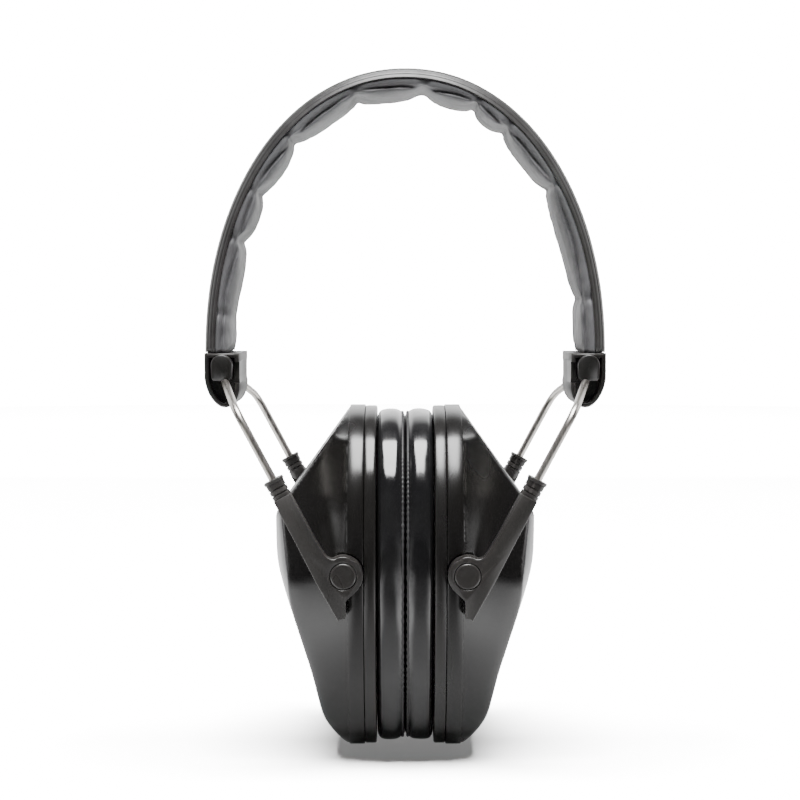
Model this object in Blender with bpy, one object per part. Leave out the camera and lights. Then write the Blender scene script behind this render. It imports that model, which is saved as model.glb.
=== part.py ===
"""Folding earmuff hearing protector, in metres, +Z up, standing on its two cups.

The mid plane between the cups is x = 0, the wearer's left cup is at -X in this file's naming
("left" is -X, "right" is +X), the front of the headband faces -Y. u is the distance from the mid
plane outwards, so x = u on the right and x = -u on the left.
"""

import math

import bmesh
import bpy
from mathutils import Matrix, Vector

MM = 0.001

# Fits: touching pieces keep GAP, turning and sliding pieces keep PLAY.
GAP = 0.3 * MM
PLAY = 0.25 * MM

# Cup, seen from the side: a rounded shield, wide above and narrower below, with a flat foot.
CUP_HEIGHT = 105 * MM
CUP_HALF_DEPTH = 41.5 * MM
CUP_WIDEST_Z = 62 * MM
UPPER_ROUNDNESS = 2.5
LOWER_ROUNDNESS = 2.25
LOWER_REACH = 64.5 * MM
OUTLINE_POINTS = 52

# Layers of one half, counted from the mid plane outwards.
CUSHION_FACE_U = 0.4 * MM
CUSHION_BACK_U = 8.5 * MM
PLATE_INNER_U = 8.8 * MM
PLATE_OUTER_U = 12.1 * MM
RIM_INNER_U = 12.4 * MM
RIM_OUTER_U = 17.3 * MM
CUP_OUTER_U = 41.5 * MM
WALL = 2.0 * MM
SPIGOT_END_U = 15.5 * MM
LINER_ROOM = 1.0 * MM
EAR_HALF_DEPTH = 20 * MM
EAR_HALF_HEIGHT = 30 * MM
EAR_CENTRE_Z = 55 * MM
EAR_POCKET_END_U = 27 * MM
CUSHION_INSET = 1.6 * MM

# Cup body: sloping roof above, an upright ridge, a hollow lower flank and a chamfer to the foot.
ROOF_FOOT = (39.2 * MM, 73.6 * MM)
ROOF_HEAD_Z = 104.3 * MM
RIDGE = [(41.0 * MM, 69.3 * MM), (41.4 * MM, 63.5 * MM), (40.8 * MM, 57.5 * MM)]
FLANK = [
    (37.9 * MM, 51.2 * MM),
    (32.6 * MM, 39.8 * MM),
    (28.2 * MM, 25.5 * MM),
    (24.8 * MM, 9.6 * MM),
]
FOOT_CHAMFER_END = (17.0 * MM, -0.8 * MM)
BODY_TAPER = 9 * MM
PLAN_RADIUS = 90 * MM
FACET_RIM_TOP = (17.3 * MM, 19 * MM, 103.5 * MM)
FACET_RIM_SIDE = (17.3 * MM, 40 * MM, 62 * MM)
FACET_RIDGE = (40 * MM, 30 * MM, 62 * MM)

# Yoke arms: a flat bar with a round boss, pinned to the rim, with the wire's bore along the bar.
PIN_U = 18.3 * MM
PIN_Z = 57 * MM
PIN_HEAD_RADIUS = 3.8 * MM
PIN_HEAD_DEPTH = 1.0 * MM
PIN_SHANK_RADIUS = 2.0 * MM
PIN_END_Y = 34.9 * MM
BOSS_RADIUS = 5.9 * MM
BOSS_INNER_Y = 39.4 * MM
NOTCH_FLOOR_Y = 39.1 * MM
NOTCH_RADIUS = 6.3 * MM
PIN_SEAT_RADIUS = 6.8 * MM
PIN_SEAT_INNER_Y = 36.6 * MM
ARM_INNER_Y = 42.0 * MM
ARM_OUTER_Y = 47.2 * MM
ARM_TILT = math.radians(28.2)
ARM_TO_PIN = 4.8 * MM
BAR_HALF_WIDTH_TOP = 2.6 * MM
BAR_HALF_WIDTH_LOW = 3.0 * MM
BAR_TIP = -10.5 * MM
COLLAR_BASE = 28.5 * MM
COLLAR_TOP = 34.8 * MM
COLLAR_RADIUS = 2.85 * MM
COLLAR_LIP_RADIUS = 3.3 * MM
GROOVE_DEPTH = 0.55 * MM
GROOVE_WIDTH = 0.9 * MM
BORE_END = -6.5 * MM

# Wire fork: closed end through the headband, legs down into the arms.
WIRE_RADIUS = 1.2 * MM
LEG_Y = 43.9 * MM
LEG_END = 12 * MM
LEG_BEND = 57.8 * MM
FORK_U = 56.0 * MM
FORK_Z = 117.6 * MM
FORK_CORNER_Y = 21.8 * MM

# Headband: an arched sprung strip in a cover, with a soft pad inside the arch.
BAND_HALF_WIDTH = 17 * MM
BAND_HALF_SPAN = 62 * MM
BAND_FOOT_Z = 122 * MM
BAND_RISE = 87.3 * MM
BAND_ROUNDNESS = 2.08
COVER_SKIN = 1.0 * MM
COVER_DEPTH = 3.7 * MM
COVER_WALL = 1.2 * MM
STRIP_TOP = 1.3 * MM
STRIP_THICKNESS = 1.2 * MM
PAD_TOP = 4.0 * MM
PAD_BOTTOM = 8.8 * MM
PAD_HALF_WIDTH = 15.5 * MM
FLEX_HINGE_X = 10 * MM
SPREAD_HINGE_X = 36 * MM

# End caps: a rounded cap on each end of the band, with a block that the fork's closed end turns in.
CAP_HALF_WIDTH = 5.35 * MM
CAP_CENTRE_U = 56.35 * MM
CAP_CENTRE_Z = 114 * MM
CAP_DROP = 9 * MM
CAP_LEAN = 0.12
CAP_TOP_Z = 121.7 * MM
CAP_RIM = 1.3 * MM
CAP_POCKET_DEPTH = 3 * MM
BLOCK_HALF_WIDTH = 2.0 * MM
BLOCK_FOOT_Z = 109.5 * MM
BLOCK_HALF_LENGTH = 18.3 * MM
STRIP_END_Z = 110.5 * MM
RIVET_Z = 114.5 * MM
RIVET_RADIUS = 1.2 * MM

COLOURS = {
    "shell_plastic": ((0.018, 0.017, 0.017), 0.38, 0.0),
    "plate_plastic": ((0.016, 0.015, 0.015), 0.32, 0.0),
    "arm_plastic": ((0.030, 0.029, 0.028), 0.45, 0.0),
    "cushion_vinyl": ((0.012, 0.012, 0.013), 0.16, 0.0),
    "liner_foam": ((0.05, 0.05, 0.055), 0.95, 0.0),
    "steel_wire": ((0.72, 0.70, 0.68), 0.2, 1.0),
    "spring_strip": ((0.35, 0.35, 0.36), 0.35, 1.0),
    "cover_vinyl": ((0.07, 0.07, 0.072), 0.5, 0.0),
    "pad_leatherette": ((0.11, 0.11, 0.12), 0.6, 0.0),
}


# --- Scene and small helpers ---------------------------------------------------------------

for old in list(bpy.data.objects):
    bpy.data.objects.remove(old)

parts = bpy.data.collections.new("earmuff")
bpy.context.scene.collection.children.link(parts)


def material(name):
    """The named material, made the first time that it is asked for."""
    if name in bpy.data.materials:
        return bpy.data.materials[name]
    colour, roughness, metallic = COLOURS[name]
    made = bpy.data.materials.new(name)
    made.use_nodes = True
    shader = made.node_tree.nodes["Principled BSDF"]
    shader.inputs["Base Color"].default_value = (*colour, 1)
    shader.inputs["Roughness"].default_value = roughness
    shader.inputs["Metallic"].default_value = metallic
    return made


def pivot(name, place, parent=None):
    """An empty on a joint's axis, which carries the pieces of one body."""
    empty = bpy.data.objects.new(name, None)
    parts.objects.link(empty)
    empty.location = Vector(place) - (parent.matrix_world.translation if parent else Vector())
    empty.parent = parent
    bpy.context.view_layer.update()
    return empty


def solid_from(bm, name="solid"):
    """A scratch object from a bmesh, its faces turned outwards."""
    bmesh.ops.recalc_face_normals(bm, faces=bm.faces)
    mesh = bpy.data.meshes.new(name)
    bm.to_mesh(mesh)
    bm.free()
    made = bpy.data.objects.new(name, mesh)
    bpy.context.scene.collection.objects.link(made)
    return made


def evaluated_mesh(obj):
    """The object's mesh with its modifiers applied; the object itself is removed."""
    bpy.context.view_layer.update()
    graph = bpy.context.evaluated_depsgraph_get()
    mesh = bpy.data.meshes.new_from_object(obj.evaluated_get(graph))
    mesh.transform(obj.matrix_world)
    bpy.data.objects.remove(obj)
    return mesh


def combine(base, operation, *tools):
    """Joins, cuts or intersects base with each tool in turn; the tools are used up."""
    for tool in tools:
        modifier = base.modifiers.new(operation, "BOOLEAN")
        modifier.operation = operation
        modifier.object = tool
        mesh = evaluated_mesh(base)
        bpy.data.objects.remove(tool)
        base = bpy.data.objects.new("solid", mesh)
        bpy.context.scene.collection.objects.link(base)
    return base


def node(name, obj, slot, body):
    """Turns a scratch object into the named part, carried by its body's empty."""
    mesh = evaluated_mesh(obj)
    mesh.name = name
    mesh.transform(Matrix.Translation(-body.matrix_world.translation))
    mesh.materials.clear()
    mesh.materials.append(material(slot))
    mesh.shade_smooth()
    mesh.set_sharp_from_angle(angle=math.radians(35))
    made = bpy.data.objects.new(name, mesh)
    made.parent = body
    parts.objects.link(made)
    return made


def mirrored(obj, axis):
    """A copy of a scratch object, mirrored in the plane across the X or Y axis."""
    mesh = obj.data.copy()
    mesh.transform(Matrix.Scale(-1, 4, Vector(axis)))
    mesh.flip_normals()
    made = bpy.data.objects.new("solid", mesh)
    bpy.context.scene.collection.objects.link(made)
    return made


def prism(outline, axis, low, high):
    """A flat outline pulled along an axis. Its points are (y, z) for X, (x, z) for Y, (x, y) for Z."""
    at = {
        "X": lambda a, b: (low, a, b),
        "Y": lambda a, b: (a, low, b),
        "Z": lambda a, b: (a, b, low),
    }[axis]
    step = {"X": (high - low, 0, 0), "Y": (0, high - low, 0), "Z": (0, 0, high - low)}[axis]
    bm = bmesh.new()
    face = bm.faces.new([bm.verts.new(at(a, b)) for a, b in outline])
    pulled = bmesh.ops.extrude_face_region(bm, geom=[face])["geom"]
    moved = [item for item in pulled if isinstance(item, bmesh.types.BMVert)]
    bmesh.ops.translate(bm, vec=step, verts=moved)
    return solid_from(bm)


def loft(rings, closed=False):
    """Skins rings of points in order; closed joins the last ring to the first, as in a torus."""
    bm = bmesh.new()
    loops = [[bm.verts.new(point) for point in ring] for ring in rings]
    count = len(rings[0])
    last = len(loops) if closed else len(loops) - 1
    for i in range(last):
        here = loops[i]
        there = loops[(i + 1) % len(loops)]
        for k in range(count):
            after = (k + 1) % count
            bm.faces.new((here[k], here[after], there[after], there[k]))
    if not closed:
        bm.faces.new(loops[0])
        bm.faces.new(loops[-1])
    return solid_from(bm)


def cylinder(start, end, radius, end_radius=None, segments=24):
    """A capped cylinder or cone between two points."""
    start, end = Vector(start), Vector(end)
    along = end - start
    bm = bmesh.new()
    bmesh.ops.create_cone(
        bm,
        cap_ends=True,
        segments=segments,
        radius1=radius,
        radius2=radius if end_radius is None else end_radius,
        depth=along.length,
    )
    turn = along.to_track_quat("Z", "Y").to_matrix().to_4x4()
    bmesh.ops.transform(bm, matrix=Matrix.Translation((start + end) / 2) @ turn, verts=bm.verts)
    return solid_from(bm)


def turned(start, along, profile, segments=24):
    """A turned solid: profile lists (distance along, radius) from one flat end to the other."""
    along = Vector(along).normalized()
    turn = along.to_track_quat("Z", "Y").to_matrix()
    rings = []
    for distance, radius in profile:
        ring = []
        for k in range(segments):
            angle = 2 * math.pi * k / segments
            offset = turn @ Vector((radius * math.cos(angle), radius * math.sin(angle), distance))
            ring.append(Vector(start) + offset)
        rings.append(ring)
    return loft(rings)


def smooth_curve(points, steps):
    """A Catmull-Rom curve through 2D points, steps points to a span."""
    path = []
    for i in range(len(points) - 1):
        before = Vector(points[max(i - 1, 0)])
        a, b = Vector(points[i]), Vector(points[i + 1])
        after = Vector(points[min(i + 2, len(points) - 1)])
        for k in range(steps):
            t = k / steps
            path.append(
                0.5
                * (
                    2 * a
                    + (b - before) * t
                    + (2 * before - 5 * a + 4 * b - after) * t * t
                    + (3 * a - before - 3 * b + after) * t**3
                )
            )
    path.append(Vector(points[-1]))
    return path


def shrunk(outline, distance):
    """A closed 2D outline, given anticlockwise, moved inwards by a distance."""
    moved = []
    for i, point in enumerate(outline):
        before, here = Vector(outline[i - 1]), Vector(point)
        after = Vector(outline[(i + 1) % len(outline)])
        first = (here - before).normalized()
        second = (after - here).normalized()
        normals = [Vector((-d.y, d.x)) for d in (first, second)]
        across = (normals[0] + normals[1]).normalized()
        moved.append(here + across * distance / max(across.dot(normals[0]), 0.5))
    return moved


# --- Cups --------------------------------------------------------------------------------


def cup_outline(inset=0.0, taper=0.0, count=OUTLINE_POINTS):
    """The cup seen from the side as (y, z): rounder above its widest line, longer and narrower
    below it, and cut off flat at the foot. taper narrows it from front to back only."""
    outline = []
    for k in range(count):
        angle = 2 * math.pi * (k + 0.5) / count
        c, s = math.cos(angle), math.sin(angle)
        power = 2 / (UPPER_ROUNDNESS if s > 0 else LOWER_ROUNDNESS)
        reach = (CUP_HEIGHT - CUP_WIDEST_Z if s > 0 else LOWER_REACH) - inset
        y = math.copysign(abs(c) ** power, c) * (CUP_HALF_DEPTH - inset - taper)
        z = CUP_WIDEST_Z + math.copysign(abs(s) ** power, s) * reach
        outline.append((y, max(z, inset)))
    return outline


def ear_outline(inset=0.0, count=OUTLINE_POINTS):
    """The oval ear opening as (y, z), point for point beside cup_outline."""
    outline = []
    for k in range(count):
        angle = 2 * math.pi * (k + 0.5) / count
        y = (EAR_HALF_DEPTH - inset) * math.cos(angle)
        outline.append((y, EAR_CENTRE_Z + (EAR_HALF_HEIGHT - inset) * math.sin(angle)))
    return outline


def cup_profile():
    """The cup body seen from the front as (u, z), anticlockwise: foot chamfer, flank, ridge, roof."""
    flank = smooth_curve([FLANK[-1], FLANK[-2], FLANK[-3], FLANK[-4]], 3)
    ridge = smooth_curve([RIDGE[2], RIDGE[1], RIDGE[0], ROOF_FOOT], 2)
    roof_head = (RIM_OUTER_U, ROOF_HEAD_Z)
    back = RIM_OUTER_U - 6 * MM
    return [FOOT_CHAMFER_END, *flank, *ridge, roof_head, (back, ROOF_HEAD_Z), (back, -0.8 * MM)]


def plan_outline(inset=0.0):
    """The cup body seen from above as (x, y): its outer face bows outwards."""
    reach = CUP_HALF_DEPTH + 4 * MM
    bowed = []
    for k in range(13):
        y = reach * (k / 6 - 1)
        bowed.append((CUP_OUTER_U - inset - y * y / (2 * PLAN_RADIUS), y))
    return [(0.0, -reach), *bowed, (0.0, reach)]


def cup_body(inset):
    """The body outside the rim: the tapered outline, cut by the front profile, the bowed outer face
    and a slanting facet at the front and back of the roof. inset gives the hollow inside it."""
    start = RIM_OUTER_U - 0.5 * MM - inset
    edge = 0.4 * MM + inset
    rings = [
        [(start, y, z) for y, z in cup_outline(edge)],
        [(RIM_OUTER_U, y, z) for y, z in cup_outline(edge)],
        [(CUP_OUTER_U + 2 * MM, y, z) for y, z in cup_outline(edge, BODY_TAPER)],
    ]
    body = loft(rings)
    profile = shrunk(cup_profile(), inset) if inset else cup_profile()
    body = combine(body, "INTERSECT", prism(profile, "Y", -50 * MM, 50 * MM))
    body = combine(body, "INTERSECT", prism(plan_outline(inset), "Z", -5 * MM, 110 * MM))
    for side in (-1, 1):
        top = Vector((FACET_RIM_TOP[0], side * FACET_RIM_TOP[1], FACET_RIM_TOP[2]))
        low = Vector((FACET_RIM_SIDE[0], side * FACET_RIM_SIDE[1], FACET_RIM_SIDE[2]))
        ridge = Vector((FACET_RIDGE[0], side * FACET_RIDGE[1], FACET_RIDGE[2]))
        across = (low - top).cross(ridge - low).normalized() * -side
        reach = 90 * MM
        square = [(-reach, -reach), (reach, -reach), (reach, reach), (-reach, reach)]
        slab = prism(square, "Z", 0, reach)
        turn = across.to_track_quat("Z", "Y").to_matrix().to_4x4()
        slab.matrix_world = Matrix.Translation(top - across * inset) @ turn
        body = combine(body, "DIFFERENCE", slab)
    return body


def cup_shell():
    """The cup: rim and body in one shell, open towards the head, with the two pin seats."""
    rim = prism(cup_outline(), "X", RIM_INNER_U, RIM_OUTER_U)
    shell = combine(rim, "UNION", cup_body(0.0))
    mouth_end = RIM_OUTER_U - WALL + 0.2 * MM
    mouth = prism(cup_outline(WALL + 0.7 * MM), "X", RIM_INNER_U - 1 * MM, mouth_end)
    shell = combine(shell, "DIFFERENCE", combine(mouth, "UNION", cup_body(WALL)))
    for side in (-1, 1):
        seat = cylinder(
            (PIN_U, side * PIN_SEAT_INNER_Y, PIN_Z),
            (PIN_U, side * (NOTCH_FLOOR_Y + 0.6 * MM), PIN_Z),
            PIN_SEAT_RADIUS,
            segments=20,
        )
        flush = prism(cup_outline(1.0 * MM), "X", RIM_INNER_U, RIM_INNER_U + 20 * MM)
        shell = combine(shell, "UNION", combine(seat, "INTERSECT", flush))
    for side in (-1, 1):
        notch = cylinder(
            (PIN_U, side * NOTCH_FLOOR_Y, PIN_Z),
            (PIN_U, side * 50 * MM, PIN_Z),
            NOTCH_RADIUS,
            segments=28,
        )
        hole = cylinder(
            (PIN_U, side * 30 * MM, PIN_Z),
            (PIN_U, side * 45 * MM, PIN_Z),
            PIN_SHANK_RADIUS + PLAY,
            segments=20,
        )
        shell = combine(shell, "DIFFERENCE", notch, hole)
    return shell


def pin_clearance(side, radius):
    """A cylinder round one pin seat, to cut from what sits inside the cup."""
    return cylinder(
        (PIN_U, side * 30 * MM, PIN_Z),
        (PIN_U, side * 45 * MM, PIN_Z),
        radius,
        segments=20,
    )


def cushion_plate():
    """The plate that closes the cup and carries the cushion, with a spigot that snaps into the cup."""
    plate = prism(cup_outline(0.3 * MM), "X", PLATE_INNER_U, PLATE_OUTER_U)
    spigot = prism(cup_outline(WALL + 1.1 * MM), "X", PLATE_OUTER_U - 0.5 * MM, SPIGOT_END_U)
    hollow = prism(cup_outline(WALL + 2.6 * MM), "X", PLATE_OUTER_U, SPIGOT_END_U + 1 * MM)
    spigot = combine(spigot, "DIFFERENCE", hollow)
    gate = 8 * MM
    for side in (-1, 1):
        span = sorted((side * 30 * MM, side * 45 * MM))
        outline = [
            (span[0], PIN_Z - gate),
            (span[1], PIN_Z - gate),
            (span[1], PIN_Z + gate),
            (span[0], PIN_Z + gate),
        ]
        opening = prism(outline, "X", PLATE_OUTER_U, SPIGOT_END_U + 1 * MM)
        spigot = combine(spigot, "DIFFERENCE", opening)
    plate = combine(plate, "UNION", spigot)
    return combine(plate, "DIFFERENCE", prism(ear_outline(), "X", 0, 20 * MM))


def ear_cushion():
    """The soft ring: a full, rounded section carried round the cup between outline and ear opening."""
    outer = cup_outline(CUSHION_INSET)
    inner = ear_outline(1 * MM)
    middle = (CUSHION_FACE_U + CUSHION_BACK_U) / 2
    half = (CUSHION_BACK_U - CUSHION_FACE_U) / 2
    rings = []
    for k in range(10):
        angle = 2 * math.pi * (k + 0.5) / 10
        c, s = math.cos(angle), math.sin(angle)
        share = 0.5 + 0.5 * math.copysign(abs(c) ** 0.45, c)
        u = middle + half * math.copysign(abs(s) ** 0.45, s) / abs(math.sin(math.pi * 0.3)) ** 0.45
        u = min(max(u, CUSHION_FACE_U), CUSHION_BACK_U)
        rings.append(
            [
                (u, yi + (yo - yi) * share, zi + (zo - zi) * share)
                for (yi, zi), (yo, zo) in zip(inner, outer)
            ]
        )
    return loft(rings, closed=True)


def foam_liner():
    """The sound-absorbing foam that fills the cup behind the plate, with a pocket for the ear."""
    liner = cup_body(WALL + LINER_ROOM)
    trim = prism(cup_outline(-5 * MM), "X", 0, SPIGOT_END_U + GAP)
    liner = combine(liner, "DIFFERENCE", trim, prism(ear_outline(), "X", 0, EAR_POCKET_END_U))
    for side in (-1, 1):
        liner = combine(liner, "DIFFERENCE", pin_clearance(side, PIN_SEAT_RADIUS + 0.5 * MM))
    return liner


# --- Yoke arms, pins and wire forks --------------------------------------------------------

ARM_UP = Vector((math.sin(ARM_TILT), math.cos(ARM_TILT)))
ARM_OUT = Vector((math.cos(ARM_TILT), -math.sin(ARM_TILT)))
ARM_START = Vector((PIN_U, PIN_Z)) + ARM_OUT * ARM_TO_PIN


def on_arm(along, across=0.0):
    """A point (u, z) on the arm: along its bore from beside the pin upwards, across it outwards."""
    return ARM_START + ARM_UP * along + ARM_OUT * across


def arm_point(along, y):
    """The same as a 3D point of the right-hand arm."""
    u, z = on_arm(along)
    return (u, y, z)


def arm_outline():
    """The flat bar and its boss seen from the front as (u, z)."""
    outline = [on_arm(COLLAR_BASE, -BAR_HALF_WIDTH_TOP), on_arm(COLLAR_BASE, BAR_HALF_WIDTH_TOP)]
    outline += [on_arm(2 * MM, BAR_HALF_WIDTH_LOW), on_arm(BAR_TIP, BAR_HALF_WIDTH_LOW - 0.2 * MM)]
    side_u = RIM_OUTER_U + 0.4 * MM
    outline += [Vector((side_u, 45.6 * MM)), Vector((side_u, 50.8 * MM))]
    for k in range(15):
        angle = math.radians(-112 - k * 13.0)
        outline.append(Vector((PIN_U, PIN_Z)) + BOSS_RADIUS * Vector((math.cos(angle), math.sin(angle))))
    outline += [Vector((21.6 * MM, 62.9 * MM)), Vector((23.6 * MM, 63.9 * MM))]
    outline.append(on_arm(12 * MM, -BAR_HALF_WIDTH_TOP - 0.1 * MM))
    return list(reversed(outline))


def yoke_arm():
    """The front arm of the right-hand cup. It slides on one leg of the wire and turns on the pin."""
    bar = prism(arm_outline(), "Y", -ARM_OUTER_Y, -ARM_INNER_Y)
    centre = Vector(arm_point(COLLAR_BASE - 4 * MM, -LEG_Y))
    up = Vector((ARM_UP.x, 0, ARM_UP.y))
    length = COLLAR_TOP - COLLAR_BASE + 4 * MM
    groove = COLLAR_RADIUS - GROOVE_DEPTH
    profile = [(0, BAR_HALF_WIDTH_TOP - 0.4 * MM), (4 * MM, COLLAR_RADIUS)]
    for start in (4.8 * MM, 6.7 * MM):
        profile += [
            (start, COLLAR_RADIUS),
            (start + 0.15 * MM, groove),
            (start + GROOVE_WIDTH, groove),
            (start + GROOVE_WIDTH + 0.15 * MM, COLLAR_RADIUS),
        ]
    profile += [
        (length - 1.2 * MM, COLLAR_RADIUS),
        (length - 0.5 * MM, COLLAR_LIP_RADIUS),
        (length, COLLAR_LIP_RADIUS),
    ]
    collar = turned(centre, up, profile, segments=20)
    arm = combine(bar, "UNION", collar)
    boss = cylinder(
        (PIN_U, -ARM_INNER_Y - 0.5 * MM, PIN_Z),
        (PIN_U, -BOSS_INNER_Y, PIN_Z),
        BOSS_RADIUS - 0.1 * MM,
        segments=28,
    )
    arm = combine(arm, "UNION", boss)
    bore = cylinder(
        arm_point(BORE_END, -LEG_Y),
        arm_point(COLLAR_TOP + 5 * MM, -LEG_Y),
        WIRE_RADIUS + PLAY,
        segments=16,
    )
    head_seat = cylinder(
        (PIN_U, -50 * MM, PIN_Z),
        (PIN_U, -(ARM_OUTER_Y - PIN_HEAD_DEPTH - GAP), PIN_Z),
        PIN_HEAD_RADIUS + PLAY,
        segments=28,
    )
    shank_hole = cylinder(
        (PIN_U, -50 * MM, PIN_Z),
        (PIN_U, -30 * MM, PIN_Z),
        PIN_SHANK_RADIUS + PLAY,
        segments=20,
    )
    return combine(arm, "DIFFERENCE", bore, head_seat, shank_hole)


def pivot_pin():
    """The front pin of the right-hand cup: a flush round head and a shank with a snap tip."""
    tip = ARM_OUTER_Y - PIN_END_Y
    profile = [
        (0, PIN_HEAD_RADIUS - 0.3 * MM),
        (0.3 * MM, PIN_HEAD_RADIUS),
        (PIN_HEAD_DEPTH, PIN_HEAD_RADIUS),
        (PIN_HEAD_DEPTH + 0.05 * MM, PIN_SHANK_RADIUS),
        (tip - 1.4 * MM, PIN_SHANK_RADIUS),
        (tip - 1.3 * MM, PIN_SHANK_RADIUS + 0.5 * MM),
        (tip, PIN_SHANK_RADIUS - 0.4 * MM),
    ]
    return turned((PIN_U, -ARM_OUTER_Y, PIN_Z), (0, 1, 0), profile, segments=24)


def rounded_path(corners, radii, steps=5):
    """A 3D polyline whose inner corners are rounded over the given lengths."""
    path = [Vector(corners[0])]
    for i in range(1, len(corners) - 1):
        corner = Vector(corners[i])
        start = corner + (Vector(corners[i - 1]) - corner).normalized() * radii[i - 1]
        end = corner + (Vector(corners[i + 1]) - corner).normalized() * radii[i - 1]
        for k in range(steps + 1):
            t = k / steps
            path.append(start * (1 - t) ** 2 + corner * 2 * t * (1 - t) + end * t**2)
    path.append(Vector(corners[-1]))
    return path


def wire_fork():
    """The right-hand fork: one wire, up out of the front arm, across through the band, and down."""
    front = [
        arm_point(LEG_END, -LEG_Y),
        arm_point(LEG_BEND, -LEG_Y),
        (FORK_U, -FORK_CORNER_Y, FORK_Z),
    ]
    back = [(u, -y, z) for u, y, z in reversed(front)]
    path = rounded_path(front + back, (6 * MM, 3 * MM, 3 * MM, 6 * MM))
    curve = bpy.data.curves.new("wire", "CURVE")
    curve.dimensions = "3D"
    curve.bevel_depth = WIRE_RADIUS
    curve.bevel_resolution = 2
    curve.use_fill_caps = True
    spline = curve.splines.new("POLY")
    spline.points.add(len(path) - 1)
    for point, place in zip(spline.points, path):
        point.co = (*place, 1)
    wire = bpy.data.objects.new("wire", curve)
    bpy.context.scene.collection.objects.link(wire)
    mesh = evaluated_mesh(wire)
    bm = bmesh.new()
    bm.from_mesh(mesh)
    bmesh.ops.remove_doubles(bm, verts=bm.verts, dist=0.01 * MM)
    return solid_from(bm)


# --- Headband ----------------------------------------------------------------------------


def band_point(angle, depth=0.0):
    """A point (x, z) of the arch, depth inside its outer surface. angle runs from 0 at the right
    foot over 90 degrees at the crown to 180 at the left foot."""

    def outer(a):
        c, s = math.cos(a), math.sin(a)
        power = 2 / BAND_ROUNDNESS
        x = math.copysign(abs(c) ** power, c) * BAND_HALF_SPAN
        return Vector((x, BAND_FOOT_Z + abs(s) ** power * BAND_RISE))

    nudge = 0.01
    low, high = max(angle - nudge, 0), min(angle + nudge, math.pi)
    along = (outer(high) - outer(low)).normalized()
    inward = Vector((-along.y, along.x))
    return outer(angle) + inward * depth


def angle_at(x):
    """The arch angle whose outer surface lies at x."""
    return math.acos(math.copysign(abs(x / BAND_HALF_SPAN) ** (BAND_ROUNDNESS / 2), x))


def band_layer(first, last, top, bottom, steps):
    """A layer of the arch between two angles and two depths, as a closed (x, z) outline."""
    angles = [first + (last - first) * k / steps for k in range(steps + 1)]
    upper = [band_point(a, top) for a in angles]
    lower = [band_point(a, bottom) for a in reversed(angles)]
    return upper + lower


SPREAD_AT = angle_at(SPREAD_HINGE_X)
FLEX_AT = angle_at(FLEX_HINGE_X)
SPLIT_GAP = 0.6 * GAP / BAND_HALF_SPAN
SEGMENTS = {
    "right_side": (0.0, SPREAD_AT - SPLIT_GAP, 11),
    "right_shoulder": (SPREAD_AT + SPLIT_GAP, FLEX_AT - SPLIT_GAP, 5),
    "crown": (FLEX_AT + SPLIT_GAP, math.pi - FLEX_AT - SPLIT_GAP, 4),
    "left_shoulder": (math.pi - FLEX_AT + SPLIT_GAP, math.pi - SPREAD_AT - SPLIT_GAP, 5),
    "left_side": (math.pi - SPREAD_AT + SPLIT_GAP, math.pi, 11),
}


def band_cover(first, last, steps):
    """The cover of one stretch: a channel with a closed outer face and two side walls."""
    half = BAND_HALF_WIDTH
    block = prism(band_layer(first, last, 0, COVER_DEPTH, steps), "Y", -half, half)
    reach = 0.05
    low, high = first - reach * (first > 0), last + reach * (last < math.pi)
    hollow = band_layer(low, high, COVER_SKIN, COVER_DEPTH + 2 * MM, steps)
    room = prism(hollow, "Y", COVER_WALL - half, half - COVER_WALL)
    below = 3 * MM
    ends = []
    for x_side, angle in ((1, 0.0), (-1, math.pi)):
        if abs(angle - first) < 1e-6 or abs(angle - last) < 1e-6:
            outer = x_side * (BAND_HALF_SPAN - COVER_SKIN)
            inner = x_side * (BAND_HALF_SPAN - COVER_DEPTH - 2 * MM)
            foot = [(inner, BAND_FOOT_Z - below), (outer, BAND_FOOT_Z - below)]
            foot += [(outer, BAND_FOOT_Z + below), (inner, BAND_FOOT_Z + below)]
            ends.append(prism(foot, "Y", COVER_WALL - half, half - COVER_WALL))
    return combine(block, "DIFFERENCE", room, *ends)


def band_strip(first, last, steps):
    """The sprung strip of one stretch; the side stretches run on down into the end caps."""
    half = BAND_HALF_WIDTH - COVER_WALL - 2 * MM
    depth = STRIP_TOP + STRIP_THICKNESS
    outline = band_layer(first, last, STRIP_TOP, depth, steps)
    if first == 0.0:
        foot = [(BAND_HALF_SPAN - depth, STRIP_END_Z), (BAND_HALF_SPAN - STRIP_TOP, STRIP_END_Z)]
        outline = outline + [Vector(p) for p in foot]
    if last == math.pi:
        foot = [(STRIP_TOP - BAND_HALF_SPAN, STRIP_END_Z), (depth - BAND_HALF_SPAN, STRIP_END_Z)]
        outline = outline[: steps + 1] + [Vector(p) for p in foot] + outline[steps + 1 :]
    strip = prism(outline, "Y", -half, half)
    for side, angle in ((1, 0.0), (-1, math.pi)):
        if angle in (first, last):
            hole = cylinder(
                (side * 50 * MM, 0, RIVET_Z),
                (side * 65 * MM, 0, RIVET_Z),
                RIVET_RADIUS + GAP,
                segments=16,
            )
            strip = combine(strip, "DIFFERENCE", hole)
    return strip


def band_pad(first, last, steps):
    """The soft pad of one stretch, along the inside of the arch."""
    layer = band_layer(first, last, PAD_TOP, PAD_BOTTOM, steps)
    return prism(layer, "Y", -PAD_HALF_WIDTH, PAD_HALF_WIDTH)


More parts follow.
